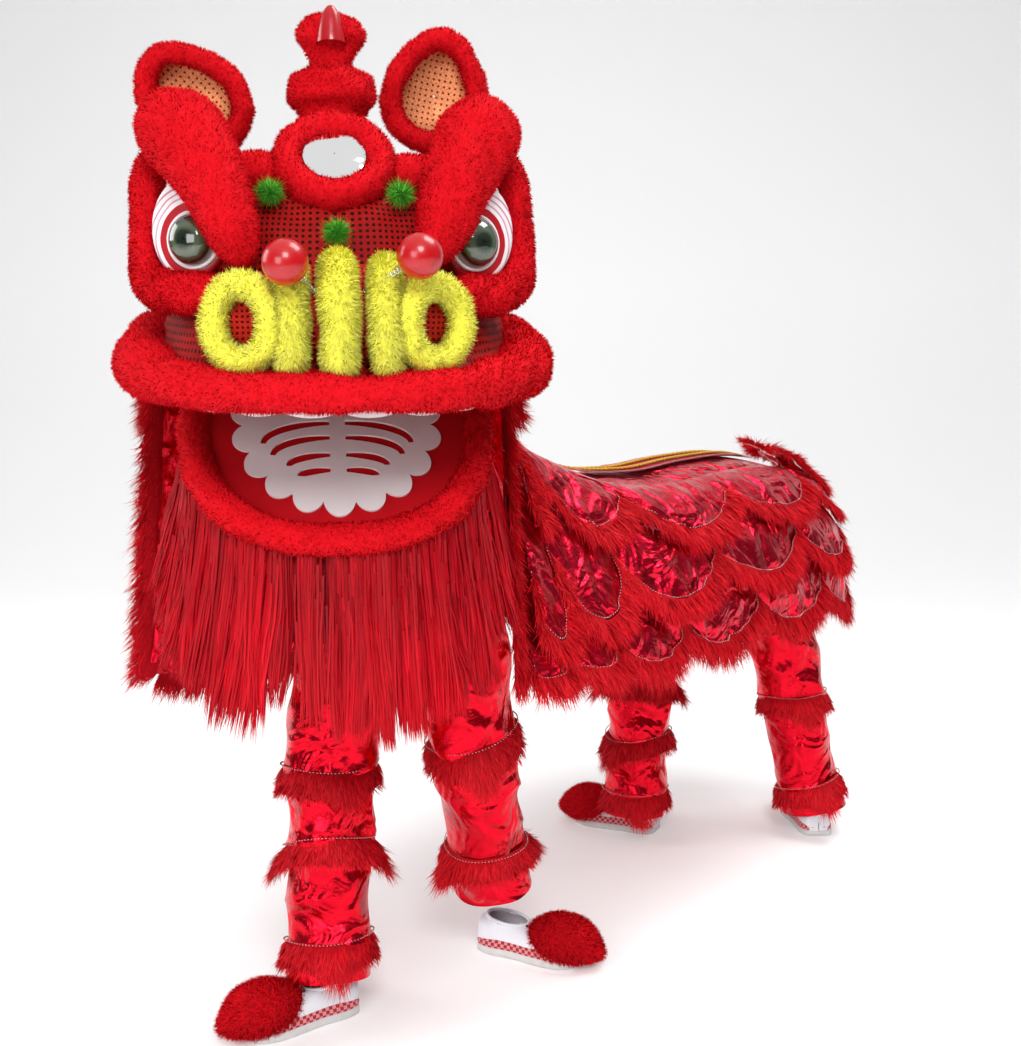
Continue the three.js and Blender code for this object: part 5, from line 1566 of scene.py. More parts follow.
@dataclass
class Crown:
    """What stands on the head: the horn and its tip, the tinsel pompoms and the ears."""

    horn_radius: float = 72.0
    horn_height: float = 250.0
    horn_flatness: float = 0.78
    horn_profile: Sequence[tuple[float, float]] = (
        (0.7, 0.0), (0.68, 0.2), (0.78, 0.36), (1.02, 0.46), (0.94, 0.58),
        (0.5, 0.68), (0.58, 0.76), (0.8, 0.87), (0.6, 0.97), (0.16, 1.0),
    )
    ear_height: float = 222.0
    ear_half: float = 74.0
    ear_depth: float = 44.0
    ear_rim: float = 21.0
    leans: Sequence[float] = (40.0, 10.0)

    def horn(self, wardrobe: Wardrobe) -> None:
        """Builds the horn of plush and its glossy tip.

        Args:
            wardrobe: Where pieces are built.
        """
        foot = at_head(0, 0.06, 0.9)
        profile = Path([(wide, 0, up) for wide, up in self.horn_profile]).at(np.linspace(0, 1, 70))
        profile = np.vstack([profile, [[0.01, 0, 1.005]]])
        turn = rounds(56)[None]
        wide = (profile[:, :1] * self.horn_radius - 4).clip(1)
        lobed = 1 + 0.07 * np.cos(2 * turn)
        x, y = wide * lobed * np.cos(turn), self.horn_flatness * wide * np.sin(turn)
        grid = np.stack([x, y, profile[:, 2:] * (self.horn_height - 4) + 0 * turn], axis=-1)
        skin = Skin.of_grid(grid[::-1], wraps=True).moved(HEAD @ shifting(foot))
        skin = skin.lifted(1.8 * waves(skin.points, 55.0, 6))
        horn = wardrobe.piece("horn_plush", skin, PLUSH_BACK, slot=Slot.PLUSH, stands_for=["horn"])
        pile = Pile(13000, PLUSH_NAP, 1.9, stray=0.45).grown(skin, 17)
        wardrobe.piece("horn_pile", pile, PLUSH_HAIR, slot=Slot.PLUSH, on=horn)
        share = np.linspace(0, 1, 20)[:, None]
        reach = 24 * np.sqrt(1 - share**1.4) + 0.3
        bend = -8 * share**2
        cone = np.stack([reach * np.cos(turn), reach * np.sin(turn) + bend, 62 * share + 0 * turn], axis=-1)
        spot = HEAD @ shifting(foot + [0, -self.horn_radius * 0.5, self.horn_height * 0.92 - 37]) @ turning(
            0, -7
        )
        tip = Skin.of_grid(cone[::-1], wraps=True).moved(spot)
        wardrobe.piece("horn_point", tip, TIP, slot=Slot.GLOSS, stands_for=["horn_tip"])

    def tinsel(self, wardrobe: Wardrobe) -> None:
        """Builds the pompoms of tinsel.

        Args:
            wardrobe: Where pieces are built.
        """
        for n, place in enumerate(((-0.33, -0.52, 0.6), (0.33, -0.52, 0.6), (0, -0.65, 0.35)), start=1):
            spot = HEAD @ shifting(at_head(*place) + np.array([0, -20, 6]))
            core = Skin.of_grid(ellipsoid((9, 9, 9), 8, 12), wraps=True).moved(spot)
            blades = Pile(3800, 30.0, 1.9, lift=1.0, stray=0.3, ragged=0.35).grown(core, n)
            heart = wardrobe.piece(f"tinsel_core_{n}", core, TINSEL_HAIR, slot=Slot.TINSEL)
            wardrobe.piece(
                f"tinsel_{n}", blades, TINSEL_HAIR, slot=Slot.TINSEL, stands_for=[f"tinsel_pom_{n}"], on=heart
            )

    def rim_point(self, turn: Array, reach: Array | float) -> Array:
        """Gives points of the ear's outline, or inside it by a share.

        Args:
            turn: The angle round the ear's middle.
            reach: How far out, in shares of the outline.

        Returns:
            The points.
        """
        across = np.cos(turn) * (1 - 0.22 * np.sin(turn))
        up = self.ear_height * (0.53 + 0.4 * np.sin(turn) * reach)
        return np.stack([self.ear_half * across * reach, 0 * up, up], axis=-1)

    def ears(self, wardrobe: Wardrobe) -> None:
        """Builds each ear's lined cup and its rim of plush.

        Args:
            wardrobe: Where pieces are built.
        """
        for (name, side), lean, body in zip(SIDES, self.leans, (Body.EAR_LEFT, Body.EAR_RIGHT)):
            place = HEAD @ shifting(at_head(side * 0.54, 0.26, 1.0)) @ turning(1, side * lean)
            turn = rounds(60)[None]
            down = np.linspace(0, 0.985, 18)[:, None]
            cup = self.rim_point(turn, np.cos(down * np.pi * 0.5))
            for depth, piece, finish, flip in (
                (self.ear_depth - 5, f"ear_lining_{name}", EAR_CLOTH, 1),
                (self.ear_depth, f"ear_back_{name}", PLUSH_BACK, -1),
            ):
                bowl = cup.copy()
                bowl[..., 1] = np.sin(down * np.pi * 0.5) * depth
                uv = bowl[..., [0, 2]] * MM
                skin = Skin.of_grid(bowl[:, ::flip], wraps=True, uv=uv[:, ::flip]).moved(place)
                skin = skin.lifted(flip * 0.8 * waves(skin.points, 60.0, 2))
                nodes = [f"ear_cup_{name}"] if flip == 1 else []
                made = wardrobe.piece(
                    piece, skin, finish, body, Slot.GILDED if flip == 1 else Slot.PLUSH, nodes
                )
                if flip == -1:
                    hair = Pile(4500, 6.0, 1.8, stray=0.45).grown(skin, 52 + side)
                    wardrobe.piece(f"ear_back_{name}_pile", hair, PLUSH_HAIR, body, Slot.PLUSH, on=made)
            line = self.rim_point(np.linspace(0, 2 * np.pi, 73), 1.0)
            outward = unit(self.rim_point(np.linspace(0, 2 * np.pi, 73), 1.1) - line)
            round_it = rounds(18)[None, :, None]
            size = self.ear_rim - 3
            grid = line[:, None] + size * (outward[:, None] * np.cos(round_it))
            grid[..., 1] -= size * np.sin(round_it[..., 0])
            rim = Skin.of_grid(grid, wraps=True).moved(place)
            rim = rim.lifted(1.5 * waves(rim.points, 45.0, 13))
            roll = wardrobe.piece(f"ear_roll_{name}", rim, PLUSH_BACK, body, Slot.PLUSH, [f"ear_rim_{name}"])
            pile = Pile(11000, PLUSH_NAP, 1.8, stray=0.45).grown(rim, 60 + side)
            wardrobe.piece(f"ear_roll_{name}_pile", pile, PLUSH_HAIR, body, Slot.PLUSH, on=roll)
            stem = Path([(0, 0, 0), (0, 34, 6), (0, 45, 34), (0, 46, 66)]).at(np.linspace(0, 1, 24))
            wardrobe.piece(f"ear_stem_{name}", cord(stem, 6.5, 10).moved(place), PLUSH_BACK, body, Slot.PLUSH)

    def dress(self, wardrobe: Wardrobe) -> None:
        """Builds all that stands on the head.

        Args:
            wardrobe: Where pieces are built.
        """
        self.horn(wardrobe)
        self.tinsel(wardrobe)
        self.ears(wardrobe)


# The jaw

JAW_DROP = 39.0
JAW_HALF, JAW_LENGTH, JAW_ROLL = 238.0, 430.0, 27.0
JAW_HINGE = HEAD @ shifting(at_head(0, 0.25, -0.42))
JAW = JAW_HINGE @ turning(0, JAW_DROP)
JAW_OUTLINE = (
    (0.9, -0.06), (0.98, -0.24), (1.0, -0.44), (0.92, -0.66), (0.7, -0.87), (0.36, -0.975), (0.0, -1.0),
)


@dataclass
class Jaw:
    """The lower jaw: a felt board in a roll of plush, the tongue on it and the beard under it."""

    board_thick: float = 5.0
    tongue_half: float = 178.0
    tongue_length: float = 272.0
    lobes: int = 11
    beard_length: float = 320.0
    beard_shares: Sequence[float] = (0.74, 0.9, 1.0, 1.0, 0.98, 0.9, 0.78)
    flare: float = 0.2
    locks: int = 84
    hairs: int = 10500
    slots: Sequence[tuple[float, float, float]] = (
        (62.0, -128.0, 14.0), (80.0, -92.0, 26.0), (106.0, -50.0, 42.0), (122.0, -14.0, 50.0),
    )

    def rim(self, lift: float = 0.0) -> Array:
        """Gives the points of the jaw's outline in its own frame."""
        rows = both_sides([(across, ahead) for across, ahead in JAW_OUTLINE])
        return np.array([(across * JAW_HALF, ahead * JAW_LENGTH, lift) for across, ahead in rows])

    def board(self, wardrobe: Wardrobe) -> None:
        """Builds the felt-covered board and its roll.

        Args:
            wardrobe: Where pieces are built.
        """
        outline = Path(self.rim()).at(np.linspace(0, 1, 90))
        middle = np.array([0, -JAW_LENGTH * 0.45, 0])
        share = np.linspace(0.02, 0.985, 16)[:, None, None]
        grid = middle + (outline[None] - middle) * share
        tops = []
        for lift, flip in ((0.0, 1), (-self.board_thick, -1)):
            layer = grid.copy()
            layer[..., 2] = lift
            tops.append(Skin.of_grid(layer[:, ::flip], wraps=True))
        felt = tops[0].joined(tops[1]).moved(JAW)
        wardrobe.piece("jaw_felt_board", felt, JAW_FELT, Body.JAW, Slot.PLUSH, ["jaw_board"])
        for name, side in SIDES:
            arm = Path([(side * 205, -28, -3), (side * 228, -10, -2), (side * 250, 0, 0)]).at(
                np.linspace(0, 1, 16)
            )
            wardrobe.piece(f"jaw_arm_{name}", cord(arm, 8.5, 12).moved(JAW), PLUSH_BACK, Body.JAW, Slot.PLUSH)
        roll = PlushRoll("jaw_plush", self.rim(), JAW_ROLL, [0.8, 1, 1, 1, 0.8], 22000, 110, 20)
        roll.dress(wardrobe, JAW, Body.JAW, Slot.PLUSH, ["jaw_roll"])

    def tongue_point(self, degrees: float, reach: float, widen: float = 0.0) -> tuple[float, float]:
        """Gives a point of the tongue, 0 degrees being ahead.

        Args:
            degrees: The direction.
            reach: How far out, in shares of the tongue.
            widen: How far past that, in millimetres.

        Returns:
            How far across and how far ahead.
        """
        turn = math.radians(degrees)
        across = (self.tongue_half * reach + widen) * math.sin(turn)
        return across, -(self.tongue_length * 0.86 * reach + widen) * math.cos(turn)

    def tongue(self, wardrobe: Wardrobe) -> None:
        """Builds the scalloped white tongue with its curved slots.

        Args:
            wardrobe: Where pieces are built.
        """
        reach = 104.0
        rim = []
        for k in range(261):
            bulge = 0.85 + 0.15 * abs(math.sin(math.pi * self.lobes * k / 260)) ** 0.55
            rim.append(self.tongue_point(-reach + 2 * reach * k / 260, bulge))
        outlines = [rim]
        for half, crown, drop in self.slots:
            turn = np.linspace(0, np.pi / 2, 25)
            swell = 4.2 + 4.6 * np.sin(np.linspace(0.25, np.pi, 25))
            middle = np.stack([13 + (half - 13) * np.sin(turn), crown - drop * (1 - np.cos(turn))], axis=-1)
            heading = unit(np.gradient(middle, axis=0))
            across = np.stack([-heading[:, 1], heading[:, 0]], axis=-1) * swell[:, None]
            slot = np.vstack([middle + across, (middle - across)[::-1]])
            outlines += [slot.tolist(), (slot * [-1, 1]).tolist()]
        drawing = bpy.data.curves.new("tongue_outline", "CURVE")
        drawing.dimensions = "2D"
        drawing.fill_mode = "BOTH"
        drawing.extrude = 1.5
        for outline in outlines:
            spline = drawing.splines.new("POLY")
            spline.points.add(len(outline) - 1)
            for point, (x, y) in zip(spline.points, outline):
                point.co = (x, y, 0, 1)
            spline.use_cyclic_u = True
        pattern = bpy.data.objects.new("tongue_outline", drawing)
        mesh = bpy.data.meshes.new_from_object(pattern)
        mesh.calc_loop_triangles()
        points = np.array([vertex.co for vertex in mesh.vertices], float).reshape(-1, 3)
        faces = np.array([triangle.vertices for triangle in mesh.loop_triangles], int)
        bpy.data.objects.remove(pattern)
        place = JAW @ shifting((0, -JAW_LENGTH * 0.345, 2.2))
        made = wardrobe.piece(
            "tongue_board", Skin(points, faces).moved(place), BOARD, Body.JAW, Slot.WHITE, ["tongue"]
        )
        made.data.shade_flat()

    def beard_point(self, share: Array, depth: Array, layer: Array) -> Array:
        """Gives points of the beard in the frame of the jaw's hinge.

        Args:
            share: Where along the jaw's outline, from 0 to 1.
            depth: How far down, in shares of the beard's own length there.
            layer: How far out of its middle layer, in millimetres.

        Returns:
            The points.
        """
        dense = np.linspace(0, 1, 400)
        top = Path(moved(self.rim(-JAW_ROLL * 0.4)[1:-1], turning(0, JAW_DROP))).at(dense)
        length = self.beard_length * along(self.beard_shares, dense)
        x, y, z, reach = (np.interp(share, dense, row) for row in (*top.T, length))
        away = unit(np.stack([x / JAW_HALF, 0.5 * y / JAW_LENGTH, 0 * x], axis=-1))
        flare = self.flare * self.beard_length * depth**1.3 * np.abs(x) / JAW_HALF
        point = np.stack([x, y, z - reach * depth], axis=-1)
        return point + away * (flare + layer)[..., None]

    def beard(self, wardrobe: Wardrobe) -> None:
        """Builds the beard's backing and its long parted hair.

        Args:
            wardrobe: Where pieces are built.
        """
        place = JAW_HINGE
        share, depth = np.meshgrid(np.linspace(0, 1, 97), np.linspace(0, 0.5, 10))
        ruffle = 6 * np.sin(share * 150) * depth
        skin = Skin.of_grid(self.beard_point(share, depth, ruffle - 6)).moved(place)
        backing = wardrobe.piece("beard_backing", skin, BEARD_BACK, Body.JAW, Slot.FUR, ["beard"])
        rng = np.random.default_rng(77)
        leaders = np.sort(rng.random(self.locks))
        whose = rng.integers(0, self.locks, self.hairs)
        start = np.clip(leaders[whose] + rng.normal(0, 0.9 / self.locks, self.hairs), 0, 1)
        root = 0.5 * rng.random(self.hairs) ** 2
        reach = rng.uniform(0.86, 1.08, self.locks)[whose] * (1 - 0.35 * rng.random(self.hairs) ** 2)
        reach = np.minimum(np.maximum(reach, root + 0.35), 1.12)
        layer = rng.uniform(-12, 15, self.hairs)
        swing = rng.normal(0, 5.0, self.locks)[whose]
        rows = []
        for t in np.linspace(0, 1, 6):
            gather = start + (leaders[whose] - start) * 0.25 * t**1.6
            sway = layer * (1 - 0.5 * t) + swing * t + 5 * np.sin(t * 5 + start * 90) * t
            gather = gather + 0.004 * np.sin(t * 4 + start * 60) * t
            rows.append(self.beard_point(gather, root + (reach - root) * t, sway))
        lines = moved(np.stack(rows, axis=1), place)
        lines += np.cumsum(rng.normal(0, 0.9, lines.shape), axis=1) * np.array([1, 1, 0.3])
        facing = unit((lines[:, 0] - place[:3, 3]) * np.array([1, 1, 0]))
        side = unit(np.cross(facing + 0.5 * rng.normal(size=facing.shape), DOWN)) * 2.1
        tone = 0.55 * rng.random(self.locks)[whose] + 0.45 * rng.random(self.hairs)
        hair = Tuft.of_lines(lines, side, tone, unit(facing + 0.2 * rng.normal(size=facing.shape)))
        fringe = wardrobe.piece("beard_hair_locks", hair, BEARD_HAIR, Body.JAW, Slot.FUR, on=backing)
        for hanging in (fringe, backing):
            hanging.parent = None
            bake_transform(hanging)

    def dress(self, wardrobe: Wardrobe) -> None:
        """Builds the whole jaw.

        Args:
            wardrobe: Where pieces are built.
        """
        self.board(wardrobe)
        self.tongue(wardrobe)
        self.beard(wardrobe)


# The body cloth and what is sewn on it

BODY_HALF, BODY_LENGTH, BACK_DEPTH, SKIRT_DEPTH = 300.0, 1600.0, 330.0, 330.0
BEAD, HEM_BAND, TIER_BAND = 2.1, 26.0, 24.0


def hung(grid: Array) -> None:
    """Works out the area of a flap's grid, the first row being the sewn edge, and does not keep it.

    Args:
        grid: Its grid.
    """
    area = Skin.of_grid(grid).area()


def on_back(across: float, back: float, down: float) -> Array:
    """Gives a place on the body in shares of its half width, its length and the back's depth."""
    return np.array([across * BODY_HALF, back * BODY_LENGTH, -BACK_DEPTH * down])


def on_hem(across: float, back: float, down: float) -> Array:
    """Gives a place at the hem in shares of the half width, the length and the skirt's depth."""
    return np.array([across * BODY_HALF, back * BODY_LENGTH, -BACK_DEPTH - SKIRT_DEPTH * down])


class Cloth:
    """The surface of the body cloth, from the front edge on the right round the rump to the left."""

    def __init__(self, shell: Shell) -> None:
        """Lays the cloth's lines out from the shell's rear rim to the hem.

        Args:
            shell: The head's shell.
        """
        def rim(degrees: float) -> Array:
            """Gives a point of the shell's rear rim."""
            point = shell.point(np.radians([degrees]), [np.array([v]) for v in shell.sections[1]], -1.0)
            return moved(point, HEAD)[0]

        rump = on_back(0, 0.92, 1.13)
        right = [
            (rim(14), on_hem(0.92, 0.1, 1.0), 1.0),
            (rim(30), on_hem(0.91, 0.14, 1.0), 1.0),
            (rim(48), on_hem(0.91, 0.19, 1.01), 1.05),
            (rim(70), on_hem(0.92, 0.255, 1.03), 1.15),
            (on_back(-0.3, 0.25, 0.62), on_hem(0.93, 0.33, 1.06), 1.4),
            (on_back(-0.06, 0.38, 0.97), on_hem(0.95, 0.42, 1.09), 1.9),
            (on_back(0, 0.52, 1.05), on_hem(0.97, 0.53, 1.11), 2.2),
            (on_back(0, 0.66, 1.02), on_hem(0.97, 0.66, 1.14), 2.3),
            (on_back(0, 0.8, 1.02), on_hem(0.94, 0.79, 1.14), 2.3),
            (on_back(0, 0.88, 1.08), on_hem(0.84, 0.9, 1.16), 2.3),
            (rump, on_hem(0.6, 0.98, 1.2), 2.2),
            (rump, on_hem(0.3, 1.02, 1.22), 2.2),
            (rump, on_hem(0, 1.035, 1.22), 2.2),
        ]
        mirrored = [(top, hem * np.array([-1, 1, 1]), box) for top, hem, box in right[4:-1]][::-1]
        front = [
            (rim(112), on_hem(-1.0, 0.23, 1.06), 1.2),
            (rim(134), on_hem(-1.04, 0.12, 1.06), 1.1),
            (rim(156), on_hem(-1.07, 0.0, 1.04), 1.0),
            (rim(172), on_hem(-1.06, -0.1, 1.02), 1.0),
        ]
        rows = [*right, *mirrored, *front]
        self.columns = len(rows) - 1
        self.tops = Path([row[0] for row in rows])
        self.hems = Path([row[1] for row in rows])
        self.boxes = [row[2] for row in rows]

    def point(self, column: Array, down: Array) -> Array:
        """Gives points of the cloth.

        Args:
            column: Where round it, in columns from the first.
            down: 0 at the top edge to 1 at the hem, and more below it.

        Returns:
            The points.
        """
        column, down = np.broadcast_arrays(np.asarray(column, float), np.asarray(down, float))
        share = (column / self.columns).ravel()
        top = self.tops.at(share).reshape(*column.shape, 3)
        hem = self.hems.at(share).reshape(*column.shape, 3)
        box = (2 / along(self.boxes, share)).reshape(column.shape)
        turn = np.minimum(down, 1) * np.pi / 2
        out = np.sin(np.maximum(turn, 0)) ** box
        drop = 1 - np.maximum(np.cos(turn), 0) ** box
        z = top[..., 2] + (hem[..., 2] - top[..., 2]) * drop - np.maximum(down - 1, 0) * SKIRT_DEPTH
        flat = top[..., :2] + (hem[..., :2] - top[..., :2]) * out[..., None]
        return np.concatenate([flat, z[..., None]], axis=-1)

    def axes(self, column: Array, down: Array) -> tuple[Array, Array, Array]:
        """Gives the directions along, down and out of the cloth.

        Args:
            column: The columns of the cloth.
            down: How far down each one, from 0 to 1.

        Returns:
            The three unit vectors at each place.
        """
        column, down = np.broadcast_arrays(np.asarray(column, float), np.asarray(down, float))
        level = np.clip(down, 0.03, 0.98)
        onward = unit(
            self.point(np.minimum(column + 0.03, self.columns), level) - self.point(
                np.maximum(column - 0.03, 0), level
            )
        )
        below = unit(self.point(column, level + 0.02) - self.point(column, level - 0.02))
        return onward, below, unit(np.cross(below, onward))


@dataclass(frozen=True)
class Tier:
    """One row of foil petals edged with fur."""

    name: str
    start: float
    end: float
    petals: int
    depth: float
    margin: float
    flare: float
    sag: float = 0.0
    hair: float = 42.0


@dataclass
class BodyCloth:
    """The body's foil cloth, its tiers of petals, the strip along the spine, the collar and the tail."""

    cloth: Cloth
    shell: Shell
    tiers: Sequence[Tier] = (
        Tier("tier_1", 0.26, 0.575, 12, 0.20, 1.3, 34),
        Tier("tier_2", 0.50, 0.80, 13, 0.17, 0.6, 32),
        Tier("tier_3", 0.74, 0.985, 15, 0.13, 0.25, 24, 0.1),
    )

    def back(self, wardrobe: Wardrobe) -> bpy.types.Object:
        """Builds the cloth itself, with folds that run from the spine down.

        Args:
            wardrobe: Where pieces are built.

        Returns:
            The cloth's piece.
        """
        column = np.linspace(0, self.cloth.columns, 217)[None]
        down = np.linspace(0, 1, 37)[:, None]
        grid = self.cloth.point(column, down)
        _, _, out = self.cloth.axes(column, down)
        calm = np.clip(down * 5, 0, 1)
        folds = 7 * np.sin(column * 2.9 + 1.4 * np.sin(column * 0.9)) * down**1.3
        folds = folds + 4.5 * waves(grid * np.array([1, 0.45, 1]), 150.0, 14) * calm
        grid = grid + out * (folds * calm - 2.5)[..., None]
        skin = Skin.of_grid(grid)
        made = wardrobe.piece("body_foil", skin, FOIL, slot=Slot.FOIL, stands_for=["body_cloth"])
        skin.area()
        return made

    def tier(self, wardrobe: Wardrobe, plan: Tier, seed: int) -> None:
        """Builds one tier: foil petals, their beaded edge and the fur along it.

        Args:
            wardrobe: Where pieces are built.
            plan: The tier's sizes.
            seed: Which folds and hair it has.
        """
        steps = plan.petals * 22
        share = np.linspace(0, 1, steps + 1)
        rng = np.random.default_rng(seed)
        sway = np.interp(
            share * plan.petals, np.arange(plan.petals + 1), rng.uniform(-0.2, 0.2, plan.petals + 1)
        )
        phase = np.pi * (share * plan.petals + sway * np.sin(np.pi * share * plan.petals) ** 2 * 0.3)
        scallop = np.abs(np.sin(phase)) ** 0.6
        deeper = np.interp(
            share * plan.petals, np.arange(plan.petals + 1), rng.uniform(0.85, 1.1, plan.petals + 1)
        )
        edge = plan.end + plan.depth * (scallop * deeper - 1)
        column = plan.margin + (self.cloth.columns - 2 * plan.margin) * share
        edge = edge + plan.sag * np.clip((column - self.cloth.columns + 4) / 2, 0, 1)

        def surface(level: Array, lift: Array) -> Array:
            """Gives the points of a layer."""
            _, _, out = self.cloth.axes(column[None], np.minimum(level, 1.0))
            return self.cloth.point(column[None], level) + out * lift[..., None]

        rows = np.linspace(0, 1, 15)[:, None]
        level = plan.start + (edge[None] - plan.start) * rows
        billow = 9 * np.sin(np.pi * rows) * scallop[None]
        lift = 4 + plan.flare * np.sqrt(rows) * (0.6 + 0.4 * scallop[None]) + billow
        grid = surface(level, lift)
        lift = lift + 5 * waves(grid * np.array([1, 1, 0.35]), 46.0, seed) * rows
        grid = surface(level, lift)
        petals = Skin.of_grid(grid)
        foil = wardrobe.piece(f"{plan.name}_foil", petals, FOIL, slot=Slot.FOIL, stands_for=[plan.name])
        hung(grid)
        contour = grid[-1]
        _, below, out = self.cloth.axes(column, np.minimum(edge, 1.0))
        tangent = unit(np.gradient(contour, axis=0))
        outward = np.cross(tangent, out)
        outward = unit(outward * np.sign((outward * below).sum(axis=1, keepdims=True) + 1e-6))
        flow = unit(outward * 0.8 + below * 0.45)
        line = spaced(grid[-2] * 0.4 + grid[-1] * 0.6 + out * 2.5, STITCH_GAP)
        wardrobe.piece(f"{plan.name}_beads", beads(line, BEAD), STITCH, slot=Slot.FOIL, on=foil)
        reach = np.linspace(-0.1, 1, 6)[:, None]
        swell = 3 + 3 * np.sin(np.pi * reach.clip(0))
        band = contour[None] + flow[None] * (reach * TIER_BAND)[..., None] + out[None] * swell[..., None]
        hem = Skin.of_grid(band, flow=np.broadcast_to(flow[None], band.shape))
        trim = wardrobe.piece(f"{plan.name}_fur_back", hem, FUR_BACK, slot=Slot.FUR, on=foil)
        pile = Pile(
            19500, plan.hair, 2.3, stretches=2, lift=0.5, lay=0.9, fall=0.25, stray=0.24, ragged=0.45,
            droop=0.25, locks=1500, gather=0.3,
        )
        wardrobe.piece(f"{plan.name}_fur", pile.grown(hem, seed), FUR_HAIR, slot=Slot.FUR, on=trim)

    def strip(self, wardrobe: Wardrobe) -> None:
        """Builds the sequin strip along the spine, its two braids and its edging.

        Args:
            wardrobe: Where pieces are built.
        """
        column = np.linspace(4.4, 8.8, 120)
        spine = self.cloth.tops.at(column / self.cloth.columns)
        ahead = unit(np.gradient(spine, axis=0))
        across = unit(np.stack([ahead[:, 1], -ahead[:, 0], 0 * column], axis=-1))
        share = np.linspace(-1, 1, 13)[:, None]
        half = 52.0
        grid = spine[None] + across[None] * (share * half)[..., None]
        grid[..., 2] += 5 - 3.0 * share**2
        run = travelled(spine)
        onward = np.broadcast_to(run[None], grid.shape[:2])
        uv = np.stack([onward, share * half + 0 * onward], axis=-1) * MM
        skin = Skin.of_grid(grid[::-1], uv=uv[::-1])
        strip = wardrobe.piece("spine_cloth", skin, STRIP_CLOTH, slot=Slot.GILDED, stands_for=["spine_strip"])
        hung(grid.swapaxes(0, 1))
        for n, offset in enumerate((-22.0, 22.0), start=1):
            middle = spine + across * offset + np.array([0, 0, 7.5])
            strands = []
            for k in range(3):
                turn = run / 7.0 + k * 2 * np.pi / 3
                twist = across * (3.4 * np.cos(turn))[:, None] - DOWN * (1.6 * np.sin(2 * turn))[:, None]
                strands.append(cord(middle + twist, 2.6, 5))
            wardrobe.piece(
                f"spine_braid_{n}", strands[0].joined(*strands[1:]), BRAID, slot=Slot.GILDED, on=strip
            )
        edges = [spaced(spine + across * side + np.array([0, 0, 4.0]), STITCH_GAP) for side in (-half, half)]
        wardrobe.piece("spine_beads", beads(np.vstack(edges), 2.4), STITCH, slot=Slot.GILDED, on=strip)

    def petals_row(
        self, wardrobe: Wardrobe, name: str, grid: Array, out: Array, hairs: int, length: float
    ) -> None:
        """Builds a flap with fur along its last row and its beads.

        Args:
            wardrobe: Where pieces are built.
            name: The flap's name.
            grid: Its grid, the last row being the furred edge.
            out: The direction out of it, a vector for each column.
            hairs: How many hairs.
            length: How long they are.
        """
        foil = wardrobe.piece(f"{name}_foil", Skin.of_grid(grid), FOIL, slot=Slot.FOIL, stands_for=[name])
        hung(grid)
        contour = grid[-1]
        tangent = unit(np.gradient(contour, axis=0))
        outward = np.cross(tangent, out)
        inward = unit(grid[-3] - contour)
        outward = unit(outward * -np.sign((outward * inward).sum(axis=1, keepdims=True) + 1e-6))
        flow = unit(outward - 0.3 * inward)
        reach = np.linspace(-0.2, 1, 6)[:, None]
        band = contour[None] + flow[None] * (reach * HEM_BAND)[..., None] + out[None] * 4
        skin = Skin.of_grid(band, flow=np.broadcast_to(flow[None], band.shape))
        trim = wardrobe.piece(f"{name}_fur_back", skin, FUR_BACK, slot=Slot.FUR, on=foil)
        pile = Pile(
            hairs, length, 2.1, stretches=2, lift=0.5, lay=0.9, fall=0.2, stray=0.3, ragged=0.4, droop=0.2,
            locks=hairs // 18, gather=0.4,
        )
        wardrobe.piece(f"{name}_fur", pile.grown(skin, len(name)), FUR_HAIR, slot=Slot.FUR, on=trim)
        line = spaced(grid[-2] * 0.5 + contour * 0.5 + out * 2, STITCH_GAP)
        wardrobe.piece(f"{name}_beads", beads(line, BEAD), STITCH, slot=Slot.FOIL, on=foil)

    def collar(self, wardrobe: Wardrobe) -> None:
        """Builds the collar of petals behind the head.

        Args:
            wardrobe: Where pieces are built.
        """
        petals = 7
        share = np.linspace(0, 1, petals * 16 + 1)
        turn = np.radians(14 + 152 * share)
        petal = np.abs(np.sin(np.pi * petals * share)) ** 0.55
        foot = self.shell.point(turn, [np.array([value]) for value in self.shell.sections[1]], -2.0)
        away = np.stack([np.cos(turn), np.sin(turn), 0 * turn], axis=-1)
        rows = np.linspace(0, 1, 12)[:, None]
        length = HEAD_RISE * (0.2 + 0.34 * petal)[None] * rows
        grid = foot[None] + away[None] * (length * 0.34 + 6 * np.sin(np.pi * rows))[..., None]
        grid[..., 2] -= HEAD_RISE * 0.08 + length
        out = unit(away * 0.8 + np.array([0, 0, 0.62]))
        grid = grid + out[None] * (3 * waves(grid, 50.0, 33) * rows)[..., None]
        self.petals_row(wardrobe, "collar", moved(grid, HEAD), out @ HEAD[:3, :3].T, 9500, 40.0)

    def tail(self, wardrobe: Wardrobe) -> None:
        """Builds the tail: a short leaf of foil edged with fur, which lies over the rump.

        Args:
            wardrobe: Where pieces are built.
        """
        turn = np.linspace(-0.62 * np.pi, 0.62 * np.pi, 81)
        lobes = 1 + 0.09 * np.abs(np.sin(2.5 * turn))
        rows = np.linspace(0.02, 1, 14)[:, None]
        down = 0.20 + rows * 0.21 * np.cos(turn) * lobes
        column = 10.3 + rows * 1.25 * np.sin(turn) * lobes * (0.55 + 0.45 * np.clip(0.3 / down, 0, 2))
        _, _, out = self.cloth.axes(column, down)
        grid = self.cloth.point(column, down) + out * (14 + 24 * rows)[..., None]
        grid = grid + out * (3 * waves(grid, 50.0, 35))[..., None]
        self.petals_row(wardrobe, "tail", grid, out[-1], 6500, 44.0)

